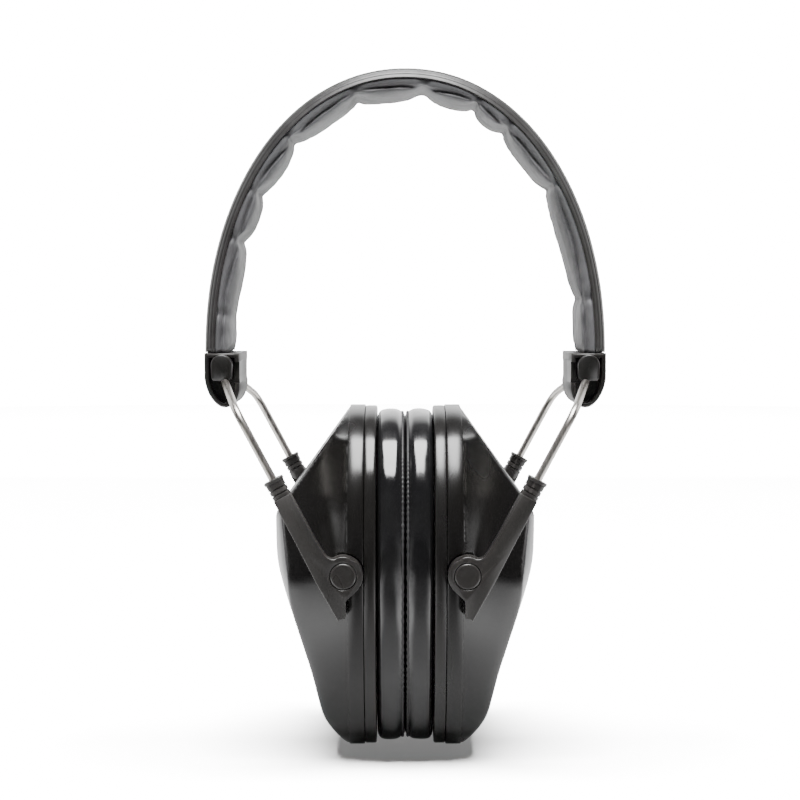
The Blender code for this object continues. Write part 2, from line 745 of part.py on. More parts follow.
def cap_outline(inset=0.0, top=CAP_TOP_Z):
    """The end cap from the front as (u, z): straight above, a long rounded foot that leans inwards."""
    half, drop = CAP_HALF_WIDTH - inset, CAP_DROP - inset
    outline = [(CAP_CENTRE_U - half, top)]
    for k in range(13):
        angle = math.pi + math.pi * k / 12
        depth = drop * math.sin(angle)
        lean = CAP_LEAN * depth
        outline.append((CAP_CENTRE_U + half * math.cos(angle) + lean, CAP_CENTRE_Z + depth))
    outline.append((CAP_CENTRE_U + half, top))
    return outline


def block_outline(play):
    """The hinge block from the front as (u, z)."""
    half = BLOCK_HALF_WIDTH + play
    foot = BLOCK_FOOT_Z - play
    top = CAP_TOP_Z + (5 * MM if play else 0)
    return [(FORK_U - half, foot), (FORK_U + half, foot), (FORK_U + half, top), (FORK_U - half, top)]


def end_cap():
    """The right-hand end cap: sunk front and back faces, and slots for the block and the strip."""
    half = BAND_HALF_WIDTH
    cap = prism(cap_outline(), "Y", -half, half)
    sink = prism(cap_outline(CAP_RIM, CAP_TOP_Z + 5 * MM), "Y", half - CAP_POCKET_DEPTH, half + 5 * MM)
    cap = combine(cap, "DIFFERENCE", mirrored(sink, (0, 1, 0)), sink)
    cap = combine(cap, "DIFFERENCE", prism(block_outline(GAP), "Y", -30 * MM, 30 * MM))
    low_u = BAND_HALF_SPAN - STRIP_TOP - STRIP_THICKNESS - GAP
    high_u = BAND_HALF_SPAN - STRIP_TOP + GAP
    foot = STRIP_END_Z - GAP
    top = CAP_TOP_Z + 5 * MM
    strip_half = BAND_HALF_WIDTH - COVER_WALL - 2 * MM + GAP
    room = [(low_u, foot), (high_u, foot), (high_u, top), (low_u, top)]
    slot = prism(room, "Y", -strip_half, strip_half)
    rivet_hole = cylinder(
        (59 * MM, 0, RIVET_Z),
        (65 * MM, 0, RIVET_Z),
        RIVET_RADIUS + GAP,
        segments=16,
    )
    return combine(cap, "DIFFERENCE", slot, rivet_hole)


def hinge_block():
    """The block in the cap that the closed end of the fork turns in."""
    block = prism(block_outline(0.0), "Y", -BLOCK_HALF_LENGTH, BLOCK_HALF_LENGTH)
    bore = cylinder(
        (FORK_U, -30 * MM, FORK_Z),
        (FORK_U, 30 * MM, FORK_Z),
        WIRE_RADIUS + PLAY,
        segments=20,
    )
    return combine(block, "DIFFERENCE", bore)


def end_rivet():
    """The rivet that holds the strip in the cap."""
    inner = BAND_HALF_SPAN - STRIP_TOP - STRIP_THICKNESS - 0.1 * MM
    outer = CAP_CENTRE_U + CAP_HALF_WIDTH
    return cylinder((inner, 0, RIVET_Z), (outer, 0, RIVET_Z), RIVET_RADIUS, segments=16)


# --- Bodies and assembly -------------------------------------------------------------------

flex_x, flex_z = band_point(FLEX_AT)
spread_x, spread_z = band_point(SPREAD_AT)
bodies = {"crown": pivot("crown_body", (0, 0, BAND_FOOT_Z + BAND_RISE))}
for side, sign in (("left", -1), ("right", 1)):
    collar_u, _, collar_z = arm_point(COLLAR_TOP, 0)
    above = bodies["crown"]
    for name, u, z in (
        ("shoulder", flex_x, flex_z),
        ("side", spread_x, spread_z),
        ("fork", FORK_U, FORK_Z),
        ("arms", collar_u, collar_z),
        ("cup", PIN_U, PIN_Z),
    ):
        above = pivot(f"{side}_{name}_body", (sign * u, 0, z), above)
        bodies[f"{side}_{name}"] = above

for stretch, (first, last, steps) in SEGMENTS.items():
    body = bodies[stretch]
    node(f"{stretch}_band_cover", band_cover(first, last, steps), "cover_vinyl", body)
    node(f"{stretch}_band_strip", band_strip(first, last, steps), "spring_strip", body)
    node(f"{stretch}_band_pad", band_pad(first, last, steps), "pad_leatherette", body)


def both_sides(name, right, slot, body):
    """Places a right-hand piece and its mirror image on the left."""
    left = mirrored(right, (1, 0, 0))
    node(f"right_{name}", right, slot, bodies[body.format("right")])
    node(f"left_{name}", left, slot, bodies[body.format("left")])


both_sides("cup_shell", cup_shell(), "shell_plastic", "{}_cup")
both_sides("cushion_plate", cushion_plate(), "plate_plastic", "{}_cup")
both_sides("ear_cushion", ear_cushion(), "cushion_vinyl", "{}_cup")
both_sides("foam_liner", foam_liner(), "liner_foam", "{}_cup")
both_sides("wire_fork", wire_fork(), "steel_wire", "{}_fork")
both_sides("end_cap", end_cap(), "arm_plastic", "{}_side")
both_sides("hinge_block", hinge_block(), "arm_plastic", "{}_side")
both_sides("end_rivet", end_rivet(), "spring_strip", "{}_side")
for made, name, slot, body in (
    (yoke_arm(), "arm", "arm_plastic", "{}_arms"),
    (pivot_pin(), "pin", "arm_plastic", "{}_cup"),
):
    behind = mirrored(made, (0, 1, 0))
    both_sides(f"front_{name}", made, slot, body)
    both_sides(f"rear_{name}", behind, slot, body)
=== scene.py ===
"""The looks of the folding earmuff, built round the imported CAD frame, in metres, +Z up.

u is the distance from the plane between the cups: x = u on the right and x = -u on the left.
"""

import math

import bmesh
import bpy
import numpy as np
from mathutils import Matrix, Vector


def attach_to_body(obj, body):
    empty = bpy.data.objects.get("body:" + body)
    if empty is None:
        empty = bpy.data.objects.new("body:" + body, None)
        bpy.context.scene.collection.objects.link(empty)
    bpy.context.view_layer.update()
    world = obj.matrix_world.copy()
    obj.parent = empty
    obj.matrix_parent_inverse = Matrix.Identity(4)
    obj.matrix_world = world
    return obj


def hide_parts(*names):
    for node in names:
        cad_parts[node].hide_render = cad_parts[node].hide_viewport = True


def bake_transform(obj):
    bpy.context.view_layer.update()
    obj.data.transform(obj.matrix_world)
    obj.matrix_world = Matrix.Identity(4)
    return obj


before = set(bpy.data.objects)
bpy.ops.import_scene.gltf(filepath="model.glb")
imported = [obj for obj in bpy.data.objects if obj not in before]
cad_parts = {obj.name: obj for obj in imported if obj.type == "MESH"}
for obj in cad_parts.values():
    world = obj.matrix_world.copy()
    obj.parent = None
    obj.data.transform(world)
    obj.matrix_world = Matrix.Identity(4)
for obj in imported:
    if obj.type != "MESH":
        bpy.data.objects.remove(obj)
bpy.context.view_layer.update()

MM = 0.001
SIDES = (("left", -1), ("right", 1))
rng = np.random.default_rng(7)


# --- Dimensions shared with the CAD ---

CUP_HEIGHT = 105.0
CUP_HALF_DEPTH = 41.5
CUP_WIDEST_Z = 62.0
UPPER_ROUNDNESS = 2.5
LOWER_ROUNDNESS = 2.25
LOWER_REACH = 64.5
RIM_INNER_U = 12.4
RIM_OUTER_U = 17.3
PLATE_INNER_U = 8.8
PLATE_OUTER_U = 12.34
CUSHION_BACK_U = 8.5
WALL = 2.0
EAR_HALF_DEPTH = 20.0
EAR_HALF_HEIGHT = 30.0
EAR_CENTRE_Z = 55.0
EAR_POCKET_END_U = 27.0

PIN_U = 18.3
PIN_Z = 57.0
NOTCH_Y = 39.1
NOTCH_RADIUS = 6.3
BOSS_Y = 39.4
BOSS_RADIUS = 5.7
BOSS_LENGTH = 3.15
SEAT_RADIUS = 4.05
SEAT_DEPTH = 1.3
ARM_TILT = math.radians(28.2)
ARM_TO_PIN = 4.8
ARM_INNER_Y = 42.0
ARM_OUTER_Y = 47.2
COLLAR_BASE = 28.5
LEG_Y = 43.9
LEG_END = 12.0
LEG_BEND = 57.8
FORK_U = 56.0
FORK_Z = 117.6
WIRE_RADIUS = 1.2

BAND_HALF_WIDTH = 17.0
BAND_HALF_SPAN = 62.0
BAND_FOOT_Z = 122.0
BAND_RISE = 87.3
BAND_ROUNDNESS = 2.08
COVER_DEPTH = 3.7
STRIP_HALF_WIDTH = 13.8
STRIP_OUTER_DEPTH = 1.3
STRIP_INNER_DEPTH = 2.5
PAD_BACK_DEPTH = 2.75
PAD_LOWEST_DEPTH = 9.2
PAD_HALF_WIDTH = 16.8
FLEX_HINGE_X = 10.0
SPREAD_HINGE_X = 36.0

CAP_HALF_WIDTH = 5.35
CAP_CENTRE_U = 56.35
CAP_CENTRE_Z = 114.0
CAP_TOP_Z = 121.7
CAP_DROP = 9.0
CAP_LEAN = 0.12
SLOT_U = (48.0, 54.0)
SLOT_Z = (112.6, 119.0)
SLOT_Y = (15.0, 19.0)
HOOD_HALF_WIDTH = 3.45
HOOD_ARCH_Z = 118.0
HOOD_ARCH_RISE = 3.3


# --- Materials ---


def nodes_of(name):
    """A new material and the means to add and join its nodes."""
    made = bpy.data.materials.new(name)
    made.use_nodes = True
    tree = made.node_tree
    shader = tree.nodes["Principled BSDF"]
    place = tree.nodes.new("ShaderNodeTexCoord").outputs["Object"]
    return made, tree, shader, place


def noise(tree, place, scale, detail, roughness=0.5, stretch=None):
    """A noise texture: scale is features per metre."""
    if stretch:
        mapping = tree.nodes.new("ShaderNodeMapping")
        mapping.inputs["Scale"].default_value = stretch
        tree.links.new(place, mapping.inputs["Vector"])
        place = mapping.outputs["Vector"]
    made = tree.nodes.new("ShaderNodeTexNoise")
    made.inputs["Scale"].default_value = scale
    made.inputs["Detail"].default_value = detail
    made.inputs["Roughness"].default_value = roughness
    tree.links.new(place, made.inputs["Vector"])
    return made.outputs["Fac"]


def cells(tree, place, scale):
    """A cell texture, for leather grain and foam pores."""
    made = tree.nodes.new("ShaderNodeTexVoronoi")
    made.inputs["Scale"].default_value = scale
    tree.links.new(place, made.inputs["Vector"])
    return made.outputs["Distance"]


def ramp(tree, value, stops):
    """A colour ramp: stops lists (position, colour)."""
    made = tree.nodes.new("ShaderNodeValToRGB")
    while len(made.color_ramp.elements) < len(stops):
        made.color_ramp.elements.new(0.5)
    for element, (position, colour) in zip(made.color_ramp.elements, stops):
        element.position = position
        element.color = (*colour, 1)
    tree.links.new(value, made.inputs["Fac"])
    return made.outputs["Color"]


def spread(tree, value, low, high, start=0.0, end=1.0):
    """Maps a value onto a range."""
    made = tree.nodes.new("ShaderNodeMapRange")
    made.inputs["From Min"].default_value = start
    made.inputs["From Max"].default_value = end
    made.inputs["To Min"].default_value = low
    made.inputs["To Max"].default_value = high
    tree.links.new(value, made.inputs["Value"])
    return made.outputs["Result"]


def mixed(tree, share, first, second):
    """Mixes two colours by a share."""
    made = tree.nodes.new("ShaderNodeMix")
    made.data_type = "RGBA"
    tree.links.new(share, made.inputs["Factor"])
    tree.links.new(first, made.inputs[6])
    if isinstance(second, tuple):
        made.inputs[7].default_value = (*second, 1)
    else:
        tree.links.new(second, made.inputs[7])
    return made.outputs[2]


def bump(tree, height, strength, distance, under=None):
    """A bump layer, over another one where under is given."""
    made = tree.nodes.new("ShaderNodeBump")
    made.inputs["Strength"].default_value = strength
    made.inputs["Distance"].default_value = distance
    tree.links.new(height, made.inputs["Height"])
    if under is not None:
        tree.links.new(under, made.inputs["Normal"])
    return made.outputs["Normal"]


def edge_wear(tree, low, high):
    """Where the surface is convex, from 0 to 1."""
    geometry = tree.nodes.new("ShaderNodeNewGeometry")
    return spread(tree, geometry.outputs["Pointiness"], 0.0, 1.0, low, high)


def moulded_plastic(name, dark, light, worn, roughness, grain, depth):
    """Moulded black plastic: fine spark-eroded grain, faint flow marks, paler rubbed edges."""
    made, tree, shader, place = nodes_of(name)
    cloud = noise(tree, place, 45, 4)
    speck = noise(tree, place, 900, 2)
    colour = ramp(tree, cloud, [(0.3, dark), (0.7, light)])
    colour = mixed(tree, spread(tree, speck, 0.0, 0.35, 0.62, 0.8), colour, worn)
    colour = mixed(tree, edge_wear(tree, 0.53, 0.62), colour, worn)
    tree.links.new(colour, shader.inputs["Base Color"])
    smear = noise(tree, place, 70, 1, 0.4, (1, 1, 0.35))
    gloss = spread(tree, smear, roughness - 0.07, roughness + 0.09, 0.3, 0.7)
    tree.links.new(gloss, shader.inputs["Roughness"])
    fine = bump(tree, noise(tree, place, grain, 2, 0.6), 0.35, depth * MM)
    wave = bump(tree, noise(tree, place, 55, 2), 0.12, 0.25 * MM, fine)
    tree.links.new(wave, shader.inputs["Normal"])
    shader.inputs["Specular IOR Level"].default_value = 0.5
    return made


def leather(name, dark, light, roughness, cell, depth, crease_strength, sheen=0.0, coat=0.0):
    """Vinyl or leatherette: pebbled grain, creases and uneven gloss."""
    made, tree, shader, place = nodes_of(name)
    cloud = noise(tree, place, 60, 4)
    tree.links.new(ramp(tree, cloud, [(0.3, dark), (0.72, light)]), shader.inputs["Base Color"])
    worn = noise(tree, place, 120, 4, 0.6)
    gloss = spread(tree, worn, roughness - 0.06, roughness + 0.1, 0.3, 0.7)
    tree.links.new(gloss, shader.inputs["Roughness"])
    pebble = bump(tree, cells(tree, place, cell), 0.5, depth * MM)
    crease = bump(tree, noise(tree, place, 260, 4, 0.65), crease_strength, 3 * depth * MM, pebble)
    tree.links.new(crease, shader.inputs["Normal"])
    shader.inputs["Sheen Weight"].default_value = sheen
    shader.inputs["Sheen Roughness"].default_value = 0.5
    shader.inputs["Coat Weight"].default_value = coat
    shader.inputs["Coat Roughness"].default_value = 0.12
    return made


def foam(name, dark, light):
    """Open-cell foam: pores of two sizes with painted shade darkening their centres, no gloss."""
    made, tree, shader, place = nodes_of(name)
    pores = cells(tree, place, 1100)
    large = cells(tree, place, 420)
    # Painted shade: colour darker toward the centre of each small pore, and darker again in the large pores.
    colour = ramp(tree, pores, [(0.12, dark), (0.55, light)])
    colour = mixed(tree, spread(tree, large, 0.6, 0.0, 0.05, 0.4), colour, dark)
    tree.links.new(colour, shader.inputs["Base Color"])
    rough = noise(tree, place, 200, 3)
    tree.links.new(spread(tree, rough, 0.88, 1.0), shader.inputs["Roughness"])
    small = bump(tree, pores, 0.8, 0.35 * MM)
    tree.links.new(bump(tree, large, 0.7, 0.8 * MM, small), shader.inputs["Normal"])
    return made


def metal(name, dark, light, roughness, stretch):
    """Drawn or rolled steel: fine lines along it, faint stains, uneven polish."""
    made, tree, shader, place = nodes_of(name)
    lines = noise(tree, place, 900, 3, 0.6, stretch)
    stain = noise(tree, place, 80, 4)
    tree.links.new(ramp(tree, stain, [(0.3, dark), (0.65, light)]), shader.inputs["Base Color"])
    gloss = spread(tree, lines, roughness - 0.05, roughness + 0.1, 0.3, 0.7)
    tree.links.new(gloss, shader.inputs["Roughness"])
    tree.links.new(bump(tree, lines, 0.15, 0.02 * MM), shader.inputs["Normal"])
    shader.inputs["Metallic"].default_value = 1.0
    return made


SHELL = moulded_plastic(
    "shell_plastic_look", (0.0035, 0.0032, 0.003), (0.005, 0.0047, 0.0045), (0.01, 0.0095, 0.009),
    roughness=0.21, grain=2600, depth=0.01,
)
PLATE = moulded_plastic(
    "plate_plastic_look", (0.005, 0.0047, 0.0045), (0.008, 0.0075, 0.007), (0.02, 0.019, 0.0185),
    roughness=0.22, grain=2600, depth=0.01,
)
ARM = moulded_plastic(
    "arm_plastic_look", (0.013, 0.012, 0.0112), (0.02, 0.0185, 0.0175), (0.05, 0.047, 0.045),
    roughness=0.34, grain=1900, depth=0.05,
)
CAP = moulded_plastic(
    "cap_plastic_look", (0.006, 0.0056, 0.0052), (0.01, 0.0093, 0.0087), (0.03, 0.028, 0.026),
    roughness=0.34, grain=1900, depth=0.04,
)
VINYL = leather(
    "cushion_vinyl_look", (0.004, 0.004, 0.0045), (0.008, 0.008, 0.0085),
    roughness=0.15, cell=900, depth=0.015, crease_strength=0.06, coat=0.35,
)
COVER = leather(
    "cover_vinyl_look", (0.012, 0.0115, 0.0112), (0.024, 0.023, 0.0225),
    roughness=0.36, cell=1500, depth=0.04, crease_strength=0.3, sheen=0.05,
)
PAD = leather(
    "pad_leatherette_look", (0.06, 0.06, 0.063), (0.105, 0.105, 0.11),
    roughness=0.52, cell=1300, depth=0.05, crease_strength=0.4, sheen=0.1,
)
THREAD = leather(
    "seam_thread_look", (0.012, 0.012, 0.013), (0.03, 0.03, 0.031),
    roughness=0.5, cell=2500, depth=0.05, crease_strength=0.3,
)
FOAM = foam("liner_foam_look", (0.02, 0.02, 0.022), (0.085, 0.085, 0.09))
WIRE = metal("steel_wire_look", (0.37, 0.35, 0.325), (0.5, 0.48, 0.45), 0.3, (1, 1, 0.05))
STRIP = metal("spring_strip_look", (0.3, 0.3, 0.31), (0.45, 0.45, 0.46), 0.34, (1, 0.05, 1))


# --- Mesh helpers ---


def piece(name, points, faces, look, sharp=None):
    """A shown piece from points in millimetres. Edges sharper than the angle stay crisp."""
    mesh = bpy.data.meshes.new(name)
    mesh.from_pydata((np.asarray(points) * MM).tolist(), [], faces)
    bm = bmesh.new()
    bm.from_mesh(mesh)
    bmesh.ops.remove_doubles(bm, verts=bm.verts, dist=1e-6)
    bmesh.ops.recalc_face_normals(bm, faces=bm.faces)
    bm.to_mesh(mesh)
    bm.free()
    mesh.shade_smooth()
    if sharp is not None:
        mesh.set_sharp_from_angle(angle=math.radians(sharp))
    mesh.materials.append(look)
    made = bpy.data.objects.new(name, mesh)
    bpy.context.scene.collection.objects.link(made)
    return made


def crisp(obj, angle):
    """Shades a piece smooth between its edges that are sharper than the angle."""
    obj.data.shade_smooth()
    obj.data.set_sharp_from_angle(angle=math.radians(angle))


def skin(grid, wrap_rows=False):
    """Points and quads of a grid of rings (rings, points, 3), each ring closed."""
    rows, count = grid.shape[:2]
    points = grid.reshape(-1, 3)
    faces = []
    for i in range(rows if wrap_rows else rows - 1):
        a, b = i * count, ((i + 1) % rows) * count
        faces += [(a + k, a + (k + 1) % count, b + (k + 1) % count, b + k) for k in range(count)]
    if not wrap_rows:
        faces.append(tuple(range(count))[::-1])
        faces.append(tuple((rows - 1) * count + k for k in range(count)))
    quads = np.array([face for face in faces if len(face) == 4])
    a, b, c, d = (points[quads[:, k]] for k in range(4))
    if (np.cross(c - a, d - b) * (a + b + c + d)).sum() < 0:
        faces = [face[::-1] for face in faces]
    return points, faces


def mirrored(points, sign):
    """Points in (u, y, z) as points in (x, y, z) of the side."""
    return np.asarray(points) * np.array([sign, 1, 1])


def applied(obj):
    """Applies every modifier of a piece to its mesh."""
    bpy.context.view_layer.update()
    graph = bpy.context.evaluated_depsgraph_get()
    mesh = bpy.data.meshes.new_from_object(obj.evaluated_get(graph))
    obj.modifiers.clear()
    obj.data = mesh
    return obj


def cut(obj, tool):
    """Cuts a closed helper piece from a piece and removes it."""
    modifier = obj.modifiers.new("cut", "BOOLEAN")
    modifier.operation = "DIFFERENCE"
    modifier.object = tool
    applied(obj)
    bpy.data.objects.remove(tool)


def finer(grid, rows_closed):
    """Twice as many rings and points, on a smooth curve through the given ones."""

    def along(g, axis, closed):
        g = np.moveaxis(g, axis, 0)
        before, after = np.roll(g, 1, 0), np.roll(g, -1, 0)
        second = np.roll(g, -2, 0)
        if not closed:
            before[0] = 2 * g[0] - g[1]
            after[-1] = 2 * g[-1] - g[-2]
            second[-2] = after[-1]
        middle = (9 * (g + after) - before - second) / 16
        out = np.empty((len(g) * 2, *g.shape[1:]))
        out[0::2], out[1::2] = g, middle
        if not closed:
            out = out[:-1]
        return np.moveaxis(out, 0, axis)

    return along(along(grid, 1, True), 0, rows_closed)


def turned(start, along, profile, segments=48, corners=2.0):
    """Rings of a turned piece: profile lists (distance along, radius). Above 2, corners squares the rings."""
    along = Vector(along).normalized()
    turn = np.array(along.to_track_quat("Z", "Y").to_matrix())
    angles = np.linspace(0, 2 * math.pi, segments, endpoint=False)
    c, s = np.cos(angles), np.sin(angles)
    reach = (np.abs(c) ** corners + np.abs(s) ** corners) ** (-1 / corners)
    rings = []
    for distance, radius in profile:
        ring = np.stack([radius * reach * c, radius * reach * s, np.full(segments, distance)], 1)
        rings.append(ring @ turn.T + np.array(start))
    return np.array(rings)


def prism(outline, low, high):
    """Rings of an outline in (u, z), pulled from low to high along Y."""
    outline = np.asarray(outline, float)
    return np.array([np.insert(outline, 1, y, axis=1) for y in (low, high)])


def bevelled(obj, width):
    """Rounds the edges of a piece."""
    modifier = obj.modifiers.new("bevel", "BEVEL")
    modifier.width = width * MM
    modifier.segments = 3
    modifier.limit_method = "ANGLE"
    modifier.angle_limit = math.radians(30)
    modifier.harden_normals = True
    return applied(obj)


def smin(a, b, k):
    """The lower of two heights, with the edge between them rounded over k."""
    h = np.clip(k - np.abs(a - b), 0, None) / k
    return np.minimum(a, b) - h * h * k / 4


# --- Cups ---

SEGMENTS = 192


def cup_outline(inset=0.0, count=SEGMENTS):
    """The cup from the side as (y, z), as in the CAD."""
    angle = 2 * math.pi * (np.arange(count) + 0.5) / count
    c, s = np.cos(angle), np.sin(angle)
    power = np.where(s > 0, 2 / UPPER_ROUNDNESS, 2 / LOWER_ROUNDNESS)
    reach = np.where(s > 0, CUP_HEIGHT - CUP_WIDEST_Z, LOWER_REACH) - inset
    y = np.sign(c) * np.abs(c) ** power * (CUP_HALF_DEPTH - inset)
    z = CUP_WIDEST_Z + np.sign(s) * np.abs(s) ** power * reach
    return np.stack([y, np.maximum(z, inset)], 1)


def ear_outline(inset=0.0, count=SEGMENTS):
    """The oval ear opening, point for point beside cup_outline."""
    angle = 2 * math.pi * (np.arange(count) + 0.5) / count
    y = (EAR_HALF_DEPTH - inset) * np.cos(angle)
    return np.stack([y, EAR_CENTRE_Z + (EAR_HALF_HEIGHT - inset) * np.sin(angle)], 1)


def ring_at(outline, u):
    """A ring of (u, y, z) from an outline in (y, z)."""
    return np.insert(outline, 0, u, axis=1)


ROOF_TOP = (104.3, RIM_OUTER_U)
ROOF_FOOT = (73.6, 39.2)
CHAMFER_LOW = (-0.8, 17.0)
CHAMFER_HIGH = (9.6, 24.8)
FACE_BULGE_U = 41.5
FACE_BULGE_RADIUS = 90.0
EDGE_INSET = 0.4
SIDE_RISE = 26.2
SIDE_RUN = 9.0
FACET_U = 146.8
FACET_FALL_Y = 2.1415
FACET_FALL_Z = 0.6865
FACE_EASE = 4.0
CHAMFER_EASE = 2.5
FACET_EASE = 1.6
ROOF_EASE = 1.2
FLANK_Z = [-3, 9.6, 25.5, 39.8, 51.2, 57.5, 63.5, 69.3, 110]
FLANK_U = [22.6, 24.8, 28.2, 32.6, 37.9, 40.8, 41.4, 41.6, 41.6]


def flank(z):
    """The hollow lower flank and the upright ridge, as u over z, with its corners eased."""
    offsets = np.linspace(-3.5, 3.5, 9)
    return np.mean([np.interp(z + d, FLANK_Z, FLANK_U) for d in offsets], axis=0)


def slope(z, start, end):
    """u over z on the straight line through two points (z, u)."""
    return start[1] + (z - start[0]) * (end[1] - start[1]) / (end[0] - start[0])


def cup_height(y, z):
    """The outer surface of the cup body as u over (y, z): the lowest of its faces, with eased edges."""
    roof = slope(z, ROOF_TOP, ROOF_FOOT)
    chamfer = slope(z, CHAMFER_LOW, CHAMFER_HIGH)
    bow = FACE_BULGE_U - y * y / (2 * FACE_BULGE_RADIUS)
    facet = FACET_U - FACET_FALL_Y * np.abs(y) - FACET_FALL_Z * z
    tall = np.where(z > CUP_WIDEST_Z, CUP_HEIGHT - CUP_WIDEST_Z - EDGE_INSET, LOWER_REACH - EDGE_INSET)
    power = np.where(z > CUP_WIDEST_Z, UPPER_ROUNDNESS, LOWER_ROUNDNESS)
    share = np.clip(np.abs(z - CUP_WIDEST_Z) / tall, 0, 1)
    half = (1 - share**power) ** (1 / power) * (CUP_HALF_DEPTH - EDGE_INSET)
    inward = 1 - np.abs(y) / np.maximum(half, 0.1)
    wall = RIM_OUTER_U + SIDE_RISE * inward * (CUP_HALF_DEPTH - EDGE_INSET) / SIDE_RUN
    side = smin(bow, flank(z), FACE_EASE)
    side = smin(side, wall, FACE_EASE)
    side = smin(side, chamfer, CHAMFER_EASE)
    side = smin(side, facet, FACET_EASE)
    return np.maximum(smin(side, roof, ROOF_EASE), RIM_OUTER_U - 0.1)


def cup_shell(name, sign):
    """The cup: rounded rim, faceted body and hollow, with a notch for each boss."""
    centre = np.array([0.0, PIN_Z])
    shares = 1 - (1 - np.linspace(0.012, 1, 64)) ** 1.5

    def surface(outline, drop):
        rings = []
        for share in shares:
            flat = centre + (outline - centre) * share
            rings.append(np.insert(flat, 0, cup_height(flat[:, 0], flat[:, 1]) - drop, axis=1))
        return rings

    outer = surface(cup_outline(EDGE_INSET), 0.0)
    rim = [
        (RIM_OUTER_U, 0.4),
        (RIM_OUTER_U - 0.08, 0.12),
        (RIM_OUTER_U - 0.3, 0.0),
        (RIM_INNER_U + 0.45, 0.0),
        (RIM_INNER_U + 0.15, 0.12),
        (RIM_INNER_U, 0.4),
        (RIM_INNER_U, 2.2),
        (RIM_INNER_U + 0.2, 2.6),
        (RIM_OUTER_U - WALL, 2.7),
    ]
    inner = surface(cup_outline(2.9), WALL)[::-1]
    rings = outer + [ring_at(cup_outline(inset), u) for u, inset in rim] + inner
    shell = piece(name, *skin(mirrored(rings, sign)), SHELL)
    for end in (-1, 1):
        profile = [(0, NOTCH_RADIUS), (9, NOTCH_RADIUS)]
        notch = turned((sign * PIN_U, end * NOTCH_Y, PIN_Z), (0, end, 0), profile, 64)
        cut(shell, piece("notch", *skin(notch), SHELL))
    crisp(shell, 38)
    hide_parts(f"{name.split('_')[0]}_cup_shell")
    return shell


def cushion_plate(name, sign):
    """The plate behind the cushion, with eased edges and a lip round the ear opening."""
    inner, outer = PLATE_INNER_U, PLATE_OUTER_U
    loops = [
        (outer, cup_outline(0.8)),
        (outer - 0.12, cup_outline(0.42)),
        (outer - 0.4, cup_outline(0.3)),
        (inner + 0.5, cup_outline(0.3)),
        (inner + 0.15, cup_outline(0.45)),
        (inner, cup_outline(0.85)),
        (inner, ear_outline(-0.8)),
        (inner + 0.25, ear_outline(-0.2)),
        (inner + 0.8, ear_outline(0.0)),
        (15.3, ear_outline(0.0)),
        (15.3, ear_outline(-1.4)),
        (outer, ear_outline(-1.6)),
    ]
    rings = [ring_at(outline, u) for u, outline in loops]
    plate = piece(name, *skin(mirrored(rings, sign), wrap_rows=True), PLATE, 40)
    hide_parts(f"{name.split('_')[0]}_cushion_plate")
    return plate


def foam_liner(name, sign):
    """The foam behind the plate: a dished block that follows the hollow of the cup."""
    centre = np.array([0.0, EAR_CENTRE_Z])
    outline = cup_outline(4.2)
    shares = np.linspace(0.02, 1, 44)
    front, back = [], []
    ripple = rng.normal(0, 0.12, (len(shares), SEGMENTS))
    for i, share in enumerate(shares):
        flat = centre + (outline - centre) * share
        reach = np.hypot(flat[:, 0] / EAR_HALF_DEPTH, (flat[:, 1] - EAR_CENTRE_Z) / EAR_HALF_HEIGHT)
        wall = 1 / (1 + np.exp(-(reach - 1.03) * 22))
        depth = cup_height(flat[:, 0], flat[:, 1]) - WALL - 1.3
        dish = np.minimum(EAR_POCKET_END_U + 0.3 - 1.2 * reach**4, depth - 1.0)
        face = dish + (15.9 - dish) * wall + ripple[i] * (0.3 + 0.7 * (1 - share))
        front.append(np.insert(flat, 0, face, axis=1))
        back.append(np.insert(flat, 0, np.maximum(depth, face + 0.6), axis=1))
    liner = piece(name, *skin(mirrored(front + back[::-1], sign)), FOAM)
    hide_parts(f"{name.split('_')[0]}_foam_liner")
    return liner


SIM_SCALE = 0.02
SIM_FRAMES = 20


def smoothed(field, rounds, rows_closed):
    """Evens a field on a grid of closed rings out towards its neighbours."""
    for _ in range(rounds):
        above, below = np.roll(field, 1, 0), np.roll(field, -1, 0)
        if not rows_closed:
            above[0], below[-1] = field[0], field[-1]
        field = (2 * field + np.roll(field, 1, 1) + np.roll(field, -1, 1) + above + below) / 6
    return field


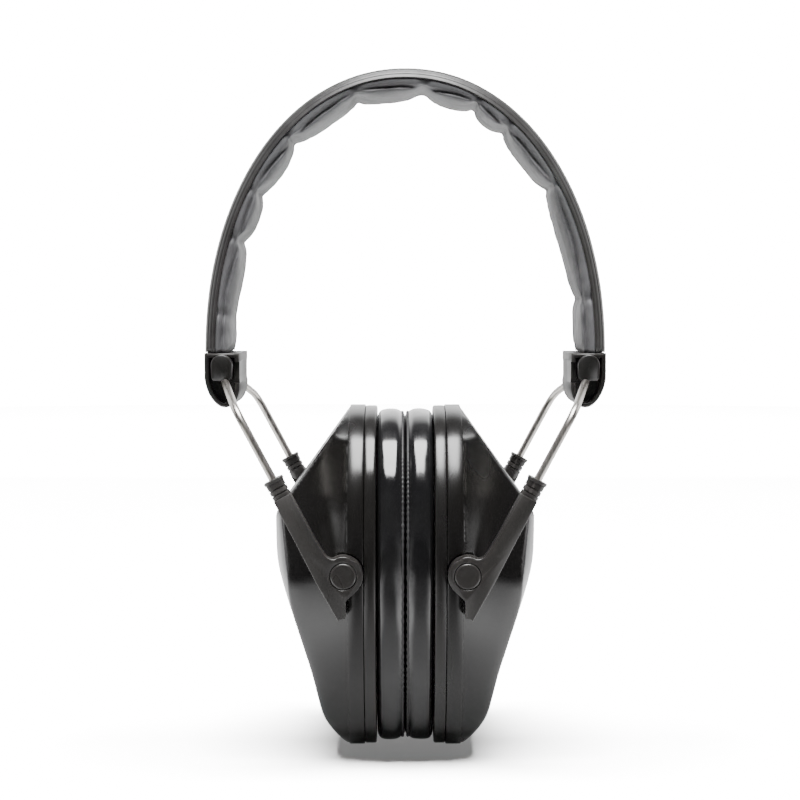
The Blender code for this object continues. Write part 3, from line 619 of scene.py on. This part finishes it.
def inflated(grid, pinned, wrap_rows, pressure, growth, most, rounds):
    """Blows a skin up by cloth simulation and returns its grid. Pinned points stay where they are.

    growth is how much the cloth may grow, most how far a point may move, and rounds how often the
    moves are evened out.
    """
    points, faces = skin(grid, wrap_rows)
    mesh = bpy.data.meshes.new("sim")
    mesh.from_pydata((points * SIM_SCALE).tolist(), [], faces)
    body = bpy.data.objects.new("sim", mesh)
    bpy.context.scene.collection.objects.link(body)
    group = body.vertex_groups.new(name="held")
    for index in np.flatnonzero(pinned.reshape(-1)):
        group.add([int(index)], 1.0, "REPLACE")
    cloth = body.modifiers.new("cloth", "CLOTH")
    settings = cloth.settings
    settings.quality = 7
    settings.mass = 0.25
    settings.tension_stiffness = settings.compression_stiffness = 20
    settings.shear_stiffness = 10
    settings.bending_stiffness = 1.5
    settings.air_damping = 3
    settings.use_pressure = True
    settings.uniform_pressure_force = pressure
    settings.shrink_min = -growth
    settings.vertex_group_mass = "held"
    settings.effector_weights.gravity = 0
    cloth.collision_settings.use_collision = False
    cloth.point_cache.frame_end = 24
    scene = bpy.context.scene
    for number in range(1, SIM_FRAMES + 1):
        scene.frame_set(number)
    graph = bpy.context.evaluated_depsgraph_get()
    done = body.evaluated_get(graph)
    moved = np.empty(len(done.data.vertices) * 3)
    done.data.vertices.foreach_get("co", moved)
    moved = moved.reshape(-1, 3) / SIM_SCALE
    scene.frame_set(1)
    bpy.data.objects.remove(body)
    step = moved - points
    far = np.maximum(np.linalg.norm(step, axis=1, keepdims=True), 1e-9)
    step = (step * most * np.tanh(far / most) / far).reshape(grid.shape)
    step = smoothed(step, rounds, wrap_rows) * ~pinned[:, :, None]
    return grid + step


CUSHION_SECTION = [
    (0.93, 8.5), (0.985, 8.1), (1.01, 7.2), (1.018, 5.6), (1.016, 3.9), (1.008, 2.5), (0.99, 1.35),
    (0.955, 0.65), (0.88, 0.22), (0.76, 0.04), (0.61, 0.0), (0.45, 0.06), (0.3, 0.3), (0.17, 0.9),
    (0.07, 2.0), (0.015, 3.6), (0.0, 5.2), (0.015, 6.9), (0.05, 8.0), (0.12, 8.5), (0.28, 8.5),
    (0.45, 8.5), (0.6, 8.5), (0.72, 8.5), (0.84, 8.5),
]


def ear_cushion(name, sign):
    """The soft ring: a full vinyl skin blown up between its seams, pressed flat where the two meet."""
    count = 168
    outer, inner = cup_outline(1.9, count), ear_outline(0.2, count)
    rings = [ring_at(inner + (outer - inner) * share, u) for share, u in CUSHION_SECTION]
    grid = np.array(rings)
    held = grid[:, :, 0] > CUSHION_BACK_U - 0.3
    held[6] = True
    grid = inflated(grid, held, True, pressure=1.5, growth=0.01, most=1.1, rounds=4)
    turn = 2 * math.pi * (np.arange(count) + 0.5) / count
    waves = sum(
        0.5**k * np.sin(turn * n + phase)
        for k, (n, phase) in enumerate(((5, 0.4 + sign), (9, 2.1), (17, 4.0 - sign), (31, 1.0)))
    )
    wall = np.array([math.exp(-(((u - 4.6) / 2.2) ** 2)) * (share > 0.9) for share, u in CUSHION_SECTION])
    away = outer - inner
    away /= np.linalg.norm(away, axis=1, keepdims=True)
    grid[:, :, 1:] += (wall[:, None] * waves[None, :] * 0.13)[:, :, None] * away[None]
    grid = finer(finer(grid, True), True)
    grid[:, :, 0] = np.clip(grid[:, :, 0], 0.0, CUSHION_BACK_U)
    grid[:, :, 2] = np.maximum(grid[:, :, 2], 1.2)
    cushion = piece(name, *skin(mirrored(grid, sign), wrap_rows=True), VINYL)
    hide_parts(f"{name.split('_')[0]}_ear_cushion")
    return cushion


def cushion_seam(name, sign):
    """The sewn edge round the face of the cushion: a row of small tight stitches."""
    count = 640
    angle = 2 * math.pi * (np.arange(count) + 0.5) / count
    line = cup_outline(2.5, count)
    step = np.roll(line, -1, 0) - np.roll(line, 1, 0)
    step /= np.linalg.norm(step, axis=1, keepdims=True)
    across = np.stack([step[:, 1], -step[:, 0]], 1)
    radius = 0.4 + 0.1 * np.cos(angle * count / 4) + rng.normal(0, 0.03, count)
    rings = []
    for k in range(8):
        a = 2 * math.pi * k / 8
        flat = line + across * (radius * math.cos(a))[:, None]
        rings.append(np.insert(flat, 0, 0.8 + radius * math.sin(a), axis=1))
    return piece(name, *skin(mirrored(rings, sign), wrap_rows=True), THREAD)


# --- Arms, pins and forks ---

ARM_UP = np.array([math.sin(ARM_TILT), math.cos(ARM_TILT)])
ARM_OUT = np.array([math.cos(ARM_TILT), -math.sin(ARM_TILT)])
ARM_START = np.array([PIN_U, PIN_Z]) + ARM_OUT * ARM_TO_PIN


def on_arm(along, across=0.0):
    """A point (u, z) of the arm, along its bore and across it outwards."""
    return ARM_START + ARM_UP * along + ARM_OUT * across


def arm_outline():
    """The flat bar, its boss and its pointed foot, from the front as (u, z)."""
    pin = np.array([PIN_U, PIN_Z])
    outline = [on_arm(COLLAR_BASE + 0.4, -2.7), on_arm(COLLAR_BASE + 0.4, 2.7)]
    outline += [on_arm(14, 2.8), on_arm(2, 3.05), on_arm(-11.2, 2.7)]
    outline += [pin + (1.2, -12.7), pin + (-0.7, -12.4), pin + (-0.75, -7.3)]
    outline.append(pin + (-4.3, -3.9))
    for degrees in range(204, 75, -8):
        angle = math.radians(degrees)
        ripple = 5.8 - 0.35 * math.exp(-(((degrees - 118) / 12) ** 2))
        outline.append(pin + (ripple * math.cos(angle), ripple * math.sin(angle)))
    outline += [pin + (2.6, 5.1), pin + (3.6, 5.15), pin + (4.7, 5.6), pin + (5.6, 6.5)]
    outline.append(on_arm(14, -2.7))
    return outline


def yoke_arm(name, sign, end):
    """One arm: bevelled bar, boss behind it, ribbed collar above it and a sunk seat for the pin."""
    rings = prism(arm_outline(), ARM_INNER_Y, ARM_OUTER_Y)
    points, faces = skin(rings)
    flip = np.array([sign, end, 1])
    bar = piece(name, points * flip, faces, ARM)
    profile = [(0, SEAT_RADIUS), (5, SEAT_RADIUS)]
    seat = turned((sign * PIN_U, end * (ARM_OUTER_Y - SEAT_DEPTH), PIN_Z), (0, end, 0), profile, 64)
    cut(bar, piece("seat", *skin(seat), ARM))
    up = (sign * ARM_UP[0], 0, ARM_UP[1])
    u, z = on_arm(COLLAR_BASE - 1.5)
    profile = [(0, 2.3), (1.2, 2.7)]
    for start in (3.0, 4.6):
        profile += [(start, 2.76), (start + 0.08, 2.66), (start + 0.12, 2.42), (start + 0.38, 2.42)]
        profile += [(start + 0.42, 2.66), (start + 0.5, 2.76)]
    profile += [(6.7, 2.78), (6.82, 2.95), (6.95, 3.02), (7.6, 3.05), (7.75, 2.95), (7.8, 2.7)]
    profile += [(7.8, 1.5), (6.6, 1.4)]
    collar_rings = turned((sign * u, end * LEG_Y, z), up, profile, 64, 4.0)
    bevelled(bar, 0.42)
    crisp(bar, 42)
    collar = piece(f"{name}_collar", *skin(collar_rings), ARM, 35)
    profile = [(0, BOSS_RADIUS - 0.5), (0.3, BOSS_RADIUS), (BOSS_LENGTH, BOSS_RADIUS)]
    boss_rings = turned((sign * PIN_U, end * BOSS_Y, PIN_Z), (0, end, 0), profile)
    boss = piece(f"{name}_boss", *skin(boss_rings), ARM, 35)
    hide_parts(name)
    return [bar, collar, boss]


def pivot_pin(name, sign, end):
    """The pin: a flush round button with an eased edge and a faint dished face, and its shank."""
    face = ARM_OUTER_Y + 0.1
    profile = [(0.12, 0.4), (0.1, 1.8), (0.0, 3.2), (0.04, 3.55), (0.3, 3.8), (1.1, 3.8), (1.12, 2.0)]
    profile += [(10.9, 2.0), (11.0, 2.45), (12.3, 1.6), (12.3, 0.2)]
    rings = turned((sign * PIN_U, end * face, PIN_Z), (0, -end, 0), profile, 64)
    pin = piece(name, *skin(rings), ARM, 40)
    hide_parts(name.replace("_look", ""))
    return pin


def rounded_path(corners, radii):
    """A polyline whose inner corners are rounded over the given lengths."""
    path = [np.array(corners[0], float)]
    for i in range(1, len(corners) - 1):
        before, corner, after = (np.array(corners[k], float) for k in (i - 1, i, i + 1))
        start = corner + (before - corner) / np.linalg.norm(before - corner) * radii[i - 1]
        end = corner + (after - corner) / np.linalg.norm(after - corner) * radii[i - 1]
        for t in np.linspace(0, 1, 11):
            path.append(start * (1 - t) ** 2 + corner * 2 * t * (1 - t) + end * t**2)
    path.append(np.array(corners[-1], float))
    return np.array(path)


def tube(path, radius):
    """Rings of a round tube along a path, without twist."""
    path = np.asarray(path, float)
    steps = np.gradient(path, axis=0)
    steps /= np.linalg.norm(steps, axis=1, keepdims=True)
    side = np.cross(steps[0], (0.3, 0.2, 0.9))
    side /= np.linalg.norm(side)
    angles = np.linspace(0, 2 * math.pi, 24, endpoint=False)
    rings = []
    for point, step in zip(path, steps):
        side = side - step * side.dot(step)
        side /= np.linalg.norm(side)
        other = np.cross(step, side)
        rings.append(point + radius * (np.outer(np.cos(angles), side) + np.outer(np.sin(angles), other)))
    return np.array(rings)


def wire_fork(name, sign):
    """The fork of bright wire through the headband."""
    top, low = on_arm(LEG_BEND), on_arm(LEG_END)
    front = [
        (low[0], -LEG_Y, low[1]),
        (top[0], -LEG_Y, top[1]),
        (FORK_U - 0.5, -16.6, FORK_Z - 4.3),
        (FORK_U, -15.6, FORK_Z),
    ]
    back = [(u, -y, z) for u, y, z in reversed(front)]
    path = rounded_path(front + back, (6, 2.2, 1.8, 1.8, 2.2, 6))
    fork = piece(name, *skin(mirrored(tube(path, WIRE_RADIUS), sign)), WIRE, 50)
    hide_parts(name.replace("_look", ""))
    return fork


# --- Headband ---


def arch(angle):
    """The outer surface of the band as (x, z): 0 at the right foot, pi at the left foot."""
    c, s = np.cos(angle), np.sin(angle)
    power = 2 / BAND_ROUNDNESS
    x = np.sign(c) * np.abs(c) ** power * BAND_HALF_SPAN
    return np.stack([x, BAND_FOOT_Z + np.abs(s) ** power * BAND_RISE], -1)


ARC_ANGLES = np.linspace(0, math.pi, 2001)
ARC_POINTS = arch(ARC_ANGLES)
ARC_STEPS = np.linalg.norm(np.diff(ARC_POINTS, axis=0), axis=1)
ARC_LENGTHS = np.concatenate([[0], np.cumsum(ARC_STEPS)])
BAND_LENGTH = ARC_LENGTHS[-1]


def along_band(lengths):
    """Points (x, z) of the arch and its inward normals at lengths from the right foot."""
    angles = np.interp(lengths, ARC_LENGTHS, ARC_ANGLES)
    points = arch(angles)
    ahead, behind = arch(np.minimum(angles + 0.01, math.pi)), arch(np.maximum(angles - 0.01, 0))
    step = ahead - behind
    step /= np.linalg.norm(step, axis=1, keepdims=True)
    return points, np.stack([-step[:, 1], step[:, 0]], 1)


def length_at(x):
    """The length along the arch at which it stands over x."""
    return float(np.interp(-x, -ARC_POINTS[:, 0], ARC_LENGTHS))


def band_grid(lengths, section):
    """Carries a closed section of (y, depth) along the band. Rings run across, one per length."""
    points, inward = along_band(lengths)
    grid = np.empty((len(lengths), len(section), 3))
    for k, (y, depth) in enumerate(section):
        grid[:, k, 0] = points[:, 0] + inward[:, 0] * depth
        grid[:, k, 1] = y
        grid[:, k, 2] = points[:, 1] + inward[:, 1] * depth
    return grid


FLEX_AT = length_at(FLEX_HINGE_X)
SPREAD_AT = length_at(SPREAD_HINGE_X)
MIDDLE = BAND_LENGTH / 2
SHOULDER = length_at(22.5)
HALF_FLEX = 8.5
HALF_SPREAD = 12.0
BAND_CUTS = (0.0, SHOULDER, MIDDLE, BAND_LENGTH - SHOULDER, BAND_LENGTH)
STRETCHES = (
    ("right_side", "right_side", "right_shoulder", SPREAD_AT, HALF_SPREAD, ["right_side"]),
    ("right_crown", "right_shoulder", "crown", FLEX_AT, HALF_FLEX, ["right_shoulder", "crown"]),
    ("left_crown", "crown", "left_shoulder", BAND_LENGTH - FLEX_AT, HALF_FLEX, ["left_shoulder"]),
    ("left_side", "left_shoulder", "left_side", BAND_LENGTH - SPREAD_AT, HALF_SPREAD, ["left_side"]),
)


def band_pieces(layer, lengths, grid, look):
    """Cuts a full-length skin of the band in four."""
    whole = piece("whole", *skin(grid), look)
    normals = np.array([v.normal for v in whole.data.vertices]).reshape(grid.shape)
    bpy.data.objects.remove(whole)
    for i, (stretch, first_body, last_body, hinge, half, nodes) in enumerate(STRETCHES):
        low, high = BAND_CUTS[i], BAND_CUTS[i + 1]
        rows = (lengths >= low - 1e-6) & (lengths <= high + 1e-6)
        part, part_normals = grid[rows], normals[rows]
        points, faces = skin(part)
        mesh = bpy.data.meshes.new(f"band_{layer}_{stretch}")
        mesh.from_pydata((points * MM).tolist(), [], faces)
        mesh.shade_smooth()
        mesh.normals_split_custom_set_from_vertices(part_normals.reshape(-1, 3).tolist())
        mesh.materials.append(look)
        obj = bpy.data.objects.new(f"band_{layer}_{stretch}", mesh)
        bpy.context.scene.collection.objects.link(obj)
        ends = along_band(np.array([hinge - half, hinge + half]))[0] * MM
        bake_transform(obj)
        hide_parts(*(f"{node}_band_{layer}" for node in nodes))


def cut_lengths(spacing):
    """Lengths along the band, evenly spaced, with one exactly at each cut."""
    runs = []
    for low, high in zip(BAND_CUTS[:-1], BAND_CUTS[1:]):
        count = max(2, round((high - low) / spacing))
        runs.append(np.linspace(low, high, count, endpoint=False))
    return np.concatenate([*runs, [BAND_CUTS[-1]]])


def cover_section():
    """The cover across the band: a shallow channel with rounded shoulders and two pressed lines on
    each side wall."""
    half = BAND_HALF_WIDTH
    right = [(0, 0.0), (6, 0.02), (9.5, 0.08), (12.4, 0.22), (13.7, 0.42), (14.6, 0.7), (15.25, 1.05)]
    right += [(15.55, 1.3), (15.52, 1.44), (15.8, 1.58), (16.25, 2.15), (16.4, 2.38), (16.35, 2.5)]
    right += [(16.6, 2.64), (half - 0.1, 3.3), (half, 3.5), (half - 0.15, 3.65), (half - 0.5, COVER_DEPTH)]
    right += [(half - 1.0, COVER_DEPTH), (half - 1.6, 3.4), (half - 2.9, 1.9), (half - 3.8, 1.1), (8, 1.0)]
    left = [(-y, d) for y, d in reversed(right[1:])]
    return right + [(0, 1.0)] + left


def strip_section():
    """The sprung strip across the band, its edges rolled."""
    half = STRIP_HALF_WIDTH
    right = [(half - 0.3, STRIP_OUTER_DEPTH), (half, 1.5), (half, 2.3), (half - 0.3, STRIP_INNER_DEPTH)]
    return right + [(-y, depth) for y, depth in reversed(right)]


GATHERS = [
    (50.5, 138.0, 0.45), (46.0, 173.6, 1.0), (33.4, 193.8, 0.9), (22.4, 199.5, 1.0), (6.0, 204.2, 1.0),
    (-15.8, 204.2, 1.0), (-38.5, 191.0, 1.0), (-48.6, 173.0, 1.0), (-54.9, 157.9, 0.9), (-56.5, 134.0, 0.4),
]


def length_near(x, z):
    """Length along the arch of its nearest point to (x, z)."""
    return ARC_LENGTHS[np.argmin(np.hypot(ARC_POINTS[:, 0] - x, ARC_POINTS[:, 1] - z))]


def fullness(lengths):
    """How far the pad is blown up at each length, and how far each length lies between its gathers."""
    places = np.array([length_near(x, z) for x, z, _ in GATHERS])
    stops = np.concatenate([[places[0] - 60], places, [places[-1] + 60]])
    depth = np.concatenate([[0], [weight for _, _, weight in GATHERS], [0]])
    at = np.clip(np.searchsorted(stops, lengths) - 1, 0, len(stops) - 2)
    share = (lengths - stops[at]) / (stops[at + 1] - stops[at])
    pull = depth[at] * (1 - share) + depth[at + 1] * share
    full = 1 - pull * (1 - np.abs(np.sin(math.pi * share)) ** 0.65)
    return full, np.where(at % 2 == 0, share, 1 - share), np.abs(lengths[:, None] - places[None, :])


def pad_grid():
    """The soft pad: gathered across at irregular lines and blown up between them."""
    lengths = cut_lengths(1.9)
    right = [(y, PAD_BACK_DEPTH) for y in (0, 4, 8, 12.6)] + [(13.2, 3.4), (14.9, 3.5), (16.0, 3.62)]
    right += [(16.5, 3.8), (16.6, 4.6), (16.45, 5.5), (16.0, 6.15), (15.4, 6.6), (14.4, 6.88), (12.6, 7.0)]
    right += [(y, 7.05) for y in (10.5, 8.4, 6.3, 4.2, 2.1, 0)]
    across, depth = np.array(right + [(-y, d) for y, d in reversed(right[1:-1])]).T
    section = list(zip(across, depth))
    grid = band_grid(lengths, section)
    _, inward = along_band(lengths)
    full, _, near = fullness(lengths)
    low = depth > 5.3
    swell = np.where(low, (depth - 5.3) / 1.75, 0)
    skew = 1 + 0.25 * np.sin(across[None, :] * 0.23 + lengths[:, None] * 0.11)
    shift = swell[None, :] * (0.3 - 2.1 * (1 - full)[:, None] * skew)
    grid[:, :, 0] += inward[:, 0:1] * shift
    grid[:, :, 2] += inward[:, 1:2] * shift
    grid += rng.normal(0, 0.06, grid.shape) * low[None, :, None]
    held = np.zeros(grid.shape[:2], bool)
    held[:, ~low] = True
    rows = near.min(1) < 0.95
    held |= rows[:, None] & low[None, :] & (np.abs(across)[None, :] < 13.8)
    held[0], held[-1] = True, True
    grid = inflated(grid, held, False, pressure=7.0, growth=0.04, most=1.3, rounds=2)
    return lengths, grid


def depths(grid, lengths):
    """How deep each point of a skin lies under the arch, and the arch's inward normals."""
    points, inward = along_band(lengths)
    rel = np.stack([grid[:, :, 0] - points[:, :1], grid[:, :, 2] - points[:, 1:]], -1)
    return (rel * inward[:, None, :]).sum(-1), inward


def folded(grid, lengths):
    """Adds the slanting fold down each side of every puff of the pad."""
    depth, _ = depths(grid, lengths)
    full, share, near = fullness(lengths)
    y = grid[:, :, 1]
    edge = np.clip((np.abs(y) - 11.5) / 2.5, 0, 1)
    line = 5.25 + 1.3 * share[:, None] + 0.15 * np.sin(lengths * 0.31)[:, None]
    fold = np.exp(-(((depth - line) / 0.42) ** 2)) - 0.3 * np.exp(-(((depth - line - 1.0) / 0.6) ** 2))
    strength = 1.5 * np.clip(full[:, None] * 1.3 - 0.2, 0, 1) * edge
    gather = np.exp(-((near.min(1) / 1.3) ** 2))[:, None] * edge * 1.1
    grid[:, :, 1] -= np.sign(y) * (fold * strength + gather)
    return grid


def limited(grid, lengths, low_depth, high_depth):
    """Keeps a skin of the band between two depths, and within the width of the pad."""
    depth, inward = depths(grid, lengths)
    shift = np.clip(depth, low_depth, high_depth) - depth
    grid[:, :, 0] += shift * inward[:, :1]
    grid[:, :, 2] += shift * inward[:, 1:]
    grid[:, :, 1] = np.clip(grid[:, :, 1], -PAD_HALF_WIDTH, PAD_HALF_WIDTH)
    return grid


def headband():
    """Cover, sprung strip and pad, each cut in four."""
    lengths = cut_lengths(1.6)
    band_pieces("cover", lengths, band_grid(lengths, cover_section()), COVER)
    band_pieces("strip", lengths, band_grid(lengths, strip_section()), STRIP)
    lengths, grid = pad_grid()
    fine = finer(grid, False)
    fine_lengths = np.interp(np.arange(len(fine)) / 2, np.arange(len(lengths)), lengths)
    fine = folded(limited(fine, fine_lengths, PAD_BACK_DEPTH, PAD_LOWEST_DEPTH), fine_lengths)
    band_pieces("pad", fine_lengths, fine, PAD)


# --- End caps ---


def cap_outline(inset):
    """The end cap from the front as (u, z): straight above, a long rounded foot that leans inwards."""
    half, drop = CAP_HALF_WIDTH - inset, CAP_DROP - inset
    outline = [(CAP_CENTRE_U - half, z) for z in np.linspace(CAP_TOP_Z - inset, CAP_CENTRE_Z + 1, 5)]
    for k in range(41):
        angle = math.pi + math.pi * k / 40
        depth = drop * math.sin(angle)
        outline.append((CAP_CENTRE_U + half * math.cos(angle) + CAP_LEAN * depth, CAP_CENTRE_Z + depth))
    outline += [(CAP_CENTRE_U + half, z) for z in np.linspace(CAP_CENTRE_Z + 1, CAP_TOP_Z - inset, 5)]
    return np.array(outline)


def end_cap(name, sign):
    """The end cap: a rounded wall round a sunk face at the front and the back, slotted for the wire."""
    steps = [(14.0, 1.75), (16.5, 1.5), (16.85, 1.35), (17.0, 1.05), (17.0, 0.6), (16.85, 0.22), (16.5, 0.0)]
    rings = [np.insert(cap_outline(inset), 1, -y, axis=1) for y, inset in steps]
    rings += [np.insert(cap_outline(inset), 1, y, axis=1) for y, inset in reversed(steps)]
    cap = piece(name, *skin(mirrored(rings, sign)), CAP)
    low, high = SLOT_Z
    outline = [(SLOT_U[0], low), (SLOT_U[1], low), (SLOT_U[1], high), (SLOT_U[0], high)]
    for end in (-1, 1):
        slot = prism(outline, *SLOT_Y) * (sign, end, 1)
        cut(cap, piece("slot", *skin(slot), CAP))
    crisp(cap, 40)
    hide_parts(name.replace("_look", ""))
    return cap


def hinge_block(name, sign):
    """The block the wire turns in: a hood over the wire on each sunk face."""
    half, arch_z, rise = HOOD_HALF_WIDTH, HOOD_ARCH_Z, HOOD_ARCH_RISE
    turn = [math.pi * k / 12 for k in range(1, 12)]
    hood = [(-2.7, 113.3), (2.7, 113.3), (3.2, 114.0), (half, arch_z)]
    hood += [(half * math.cos(a), arch_z + rise * math.sin(a)) for a in turn]
    hood += [(-half, arch_z), (-3.2, 114.0)]
    made = []
    for end, word in ((-1, "front"), (1, "rear")):
        rings = [
            [(FORK_U + 0.25 + CAP_LEAN * min(z - CAP_CENTRE_Z, 0) + u * slim, end * y, z) for u, z in hood]
            for y, slim in ((12.5, 1.0), (17.9, 1.0), (19.0, 0.9))
        ]
        block = bevelled(piece(f"{name}_{word}", *skin(mirrored(rings, sign)), CAP), 0.4)
        crisp(block, 45)
        made.append(block)
    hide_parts(name)
    return made


# --- Assembly ---


def attach(item, body):
    """Carries a piece on a body."""
    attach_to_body(item, body)


for side, sign in SIDES:
    cup = f"{side}_cup"
    attach(cup_shell(f"{side}_cup_shell_look", sign), cup)
    attach(cushion_plate(f"{side}_cushion_plate_look", sign), cup)
    attach(foam_liner(f"{side}_foam_liner_look", sign), cup)
    attach(ear_cushion(f"{side}_ear_cushion_look", sign), cup)
    attach(cushion_seam(f"{side}_cushion_seam", sign), cup)
    attach(wire_fork(f"{side}_wire_fork_look", sign), f"{side}_fork")
    for word, end in (("front", -1), ("rear", 1)):
        for item in yoke_arm(f"{side}_{word}_arm", sign, end):
            item.name = item.name.replace("_arm", "_arm_look")
            attach(item, f"{side}_arms")
        attach(pivot_pin(f"{side}_{word}_pin_look", sign, end), cup)
    attach(end_cap(f"{side}_end_cap_look", sign), f"{side}_side")
    for item in hinge_block(f"{side}_hinge_block", sign):
        item.name = item.name.replace("_block", "_block_look")
        attach(item, f"{side}_side")

headband()
for side, _ in SIDES:
    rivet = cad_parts[f"{side}_end_rivet"]
    rivet.data.materials.clear()
    rivet.data.materials.append(STRIP)


# --- Floor, light and camera ---


def times(tree, first, second):
    """The product of two values."""
    made = tree.nodes.new("ShaderNodeMath")
    made.operation = "MULTIPLY"
    tree.links.new(first, made.inputs[0])
    tree.links.new(second, made.inputs[1])
    return made.outputs["Value"]


def matt(name):
    """A matt material, its nodes, its colour socket and its coordinates."""
    made, tree, shader, place = nodes_of(name)
    shader.inputs["Roughness"].default_value = 0.6
    shader.inputs["Specular IOR Level"].default_value = 0.05
    return made, tree, shader.inputs["Base Color"], place


def sweep_look():
    """Pale matt studio floor with a very faint mottle."""
    made, tree, colour, place = matt("floor_look")
    cloud = noise(tree, place, 3, 3)
    tree.links.new(ramp(tree, cloud, [(0.3, (0.48,) * 3), (0.7, (0.52,) * 3)]), colour)
    return made


def painted_mirror_look():
    """The floor that the object mirrors, painted with light and shade for its reflections: painted shade
    darker toward the front, a painted-light patch pale beside it, painted shade dark far out.
    """
    made, tree, colour, place = matt("bounce_look")
    split = tree.nodes.new("ShaderNodeSeparateXYZ")
    tree.links.new(place, split.inputs["Vector"])
    absolute = tree.nodes.new("ShaderNodeMath")
    absolute.operation = "ABSOLUTE"
    tree.links.new(split.outputs["X"], absolute.inputs[0])
    aside = absolute.outputs["Value"]
    # Painted shade: the floor gets darker toward the front, for the object to mirror.
    forward = spread(tree, split.outputs["Y"], 0.0, 1.0, -0.32, 0.0)
    shades = ((0.0, 0.01), (0.35, 0.05), (0.6, 0.22), (0.8, 0.32), (1.0, 0.6))
    front = ramp(tree, forward, [(position, (shade,) * 3) for position, shade in shades])
    # Painted light: a pale patch beside the object, for its flanks to mirror.
    beside = spread(tree, aside, 0.0, 1.0, 0.03, 0.075)
    near = spread(tree, aside, 1.0, 0.0, 0.24, 0.4)
    level = spread(tree, split.outputs["Y"], 0.0, 1.0, -0.3, -0.12)
    painted_light_patch = times(tree, times(tree, beside, near), level)
    pale = mixed(tree, painted_light_patch, front, (0.9, 0.9, 0.9))
    # Painted shade: dark far out to the sides.
    far = spread(tree, aside, 0.0, 1.0, 0.24, 0.4)
    tree.links.new(mixed(tree, far, pale, (0.15, 0.15, 0.15)), colour)
    return made


def bowl(name, rings, look):
    """A round floor that curves up into a wall all round: rings lists (radius, height)."""
    count = 96
    points = []
    for radius, height in rings:
        for k in range(count):
            a = 2 * math.pi * k / count
            points.append((radius * math.cos(a), radius * math.sin(a), height))
    faces = [tuple(range(count))]
    for i in range(len(rings) - 1):
        low, high = i * count, (i + 1) * count
        faces += [(low + k, high + k, high + (k + 1) % count, low + (k + 1) % count) for k in range(count)]
    mesh = bpy.data.meshes.new(name)
    mesh.from_pydata(points, [], faces)
    mesh.shade_smooth()
    mesh.materials.append(look)
    made = bpy.data.objects.new(name, mesh)
    bpy.context.scene.collection.objects.link(made)
    return made


def area_light(name, place, target, size, power, receivers):
    """A soft rectangular light that lights one collection only."""
    data = bpy.data.lights.new(name, "AREA")
    data.shape = "RECTANGLE"
    data.size, data.size_y = size
    data.energy = power
    made = bpy.data.objects.new(name, data)
    made.location = place
    made.rotation_euler = (Vector(target) - Vector(place)).to_track_quat("-Z", "Y").to_euler()
    made.visible_camera = False
    made.light_linking.receiver_collection = receivers
    bpy.context.scene.collection.objects.link(made)


SWEEP_POWER = 2700
WALL_POWER = 1500
OVERHEAD_POWER = 50
SIDE_POWER = 2.2


def studio():
    """A white sweep that the camera sees, a duller floor with painted shade and painted light that the object
    mirrors, and the lights.
    """
    sweep = [(0.5, 0.0), (1.2, 0.0), (2.0, 0.0)]
    sweep += [(2.0 + math.sin(k * math.pi / 24), 1 - math.cos(k * math.pi / 24)) for k in range(1, 13)]
    seen = bowl("floor", sweep + [(3.0, 3.0)], sweep_look())
    for way in ("visible_diffuse", "visible_glossy", "visible_transmission", "visible_shadow"):
        setattr(seen, way, False)
    # This floor's colour is painted shade and painted light, seen only in the object's reflections.
    mirror = bowl("floor_bounce", [(0.5, 0.0), (3.0, 0.0)], painted_mirror_look())
    mirror.visible_camera = mirror.visible_shadow = False
    white = bpy.data.collections.new("white_sweep")
    white.objects.link(seen)
    others = bpy.data.collections.new("all_but_sweep")
    others.objects.link(seen)
    others.collection_objects[0].light_linking.link_state = "EXCLUDE"
    area_light("sweep_light", (0, 0.2, 2.6), (0, 0, 0), (2.0, 0.8), SWEEP_POWER, white)
    area_light("wall_light", (0, 1.0, 1.1), (0, 3.0, 0.9), (3.0, 1.6), WALL_POWER, white)
    for side, sign in SIDES:
        area_light(f"{side}_box", (sign, 0.25, 0.45), (0, 0, 0.1), (0.6, 0.7), SIDE_POWER, others)
    area_light("overhead", (0, -0.3, 1.05), (0, -0.1, 0.1), (0.62, 0.85), OVERHEAD_POWER, others)


def surroundings():
    """Light from all round: strongest from behind, weakest from the front and from straight above."""
    world = bpy.data.worlds.new("studio")
    world.use_nodes = True
    tree = world.node_tree
    split = tree.nodes.new("ShaderNodeSeparateXYZ")
    tree.links.new(tree.nodes.new("ShaderNodeTexCoord").outputs["Generated"], split.inputs["Vector"])
    behind = spread(tree, split.outputs["Y"], 0.12, 2.6, 0.0, 0.8)
    roof = spread(tree, split.outputs["Z"], 1.0, 0.12, 0.5, 0.75)
    tree.links.new(times(tree, behind, roof), tree.nodes["Background"].inputs["Strength"])
    tree.nodes["Background"].inputs["Color"].default_value = (1, 1, 1, 1)
    bpy.context.scene.world = world


studio()
surroundings()

CAMERA_X = -0.0016
CAMERA_DISTANCE = 0.62
CAMERA_HEIGHT = 0.138
AIM_HEIGHT = 0.1065

camera_data = bpy.data.cameras.new("camera")
camera_data.lens = 88.5
camera_data.sensor_width = 36
camera_data.clip_start = 0.01
camera = bpy.data.objects.new("camera", camera_data)
camera.location = (CAMERA_X, -CAMERA_DISTANCE, CAMERA_HEIGHT)
aim = Vector((CAMERA_X, 0, AIM_HEIGHT))
camera.rotation_euler = (aim - camera.location).to_track_quat("-Z", "Y").to_euler()
bpy.context.scene.collection.objects.link(camera)
bpy.context.scene.camera = camera
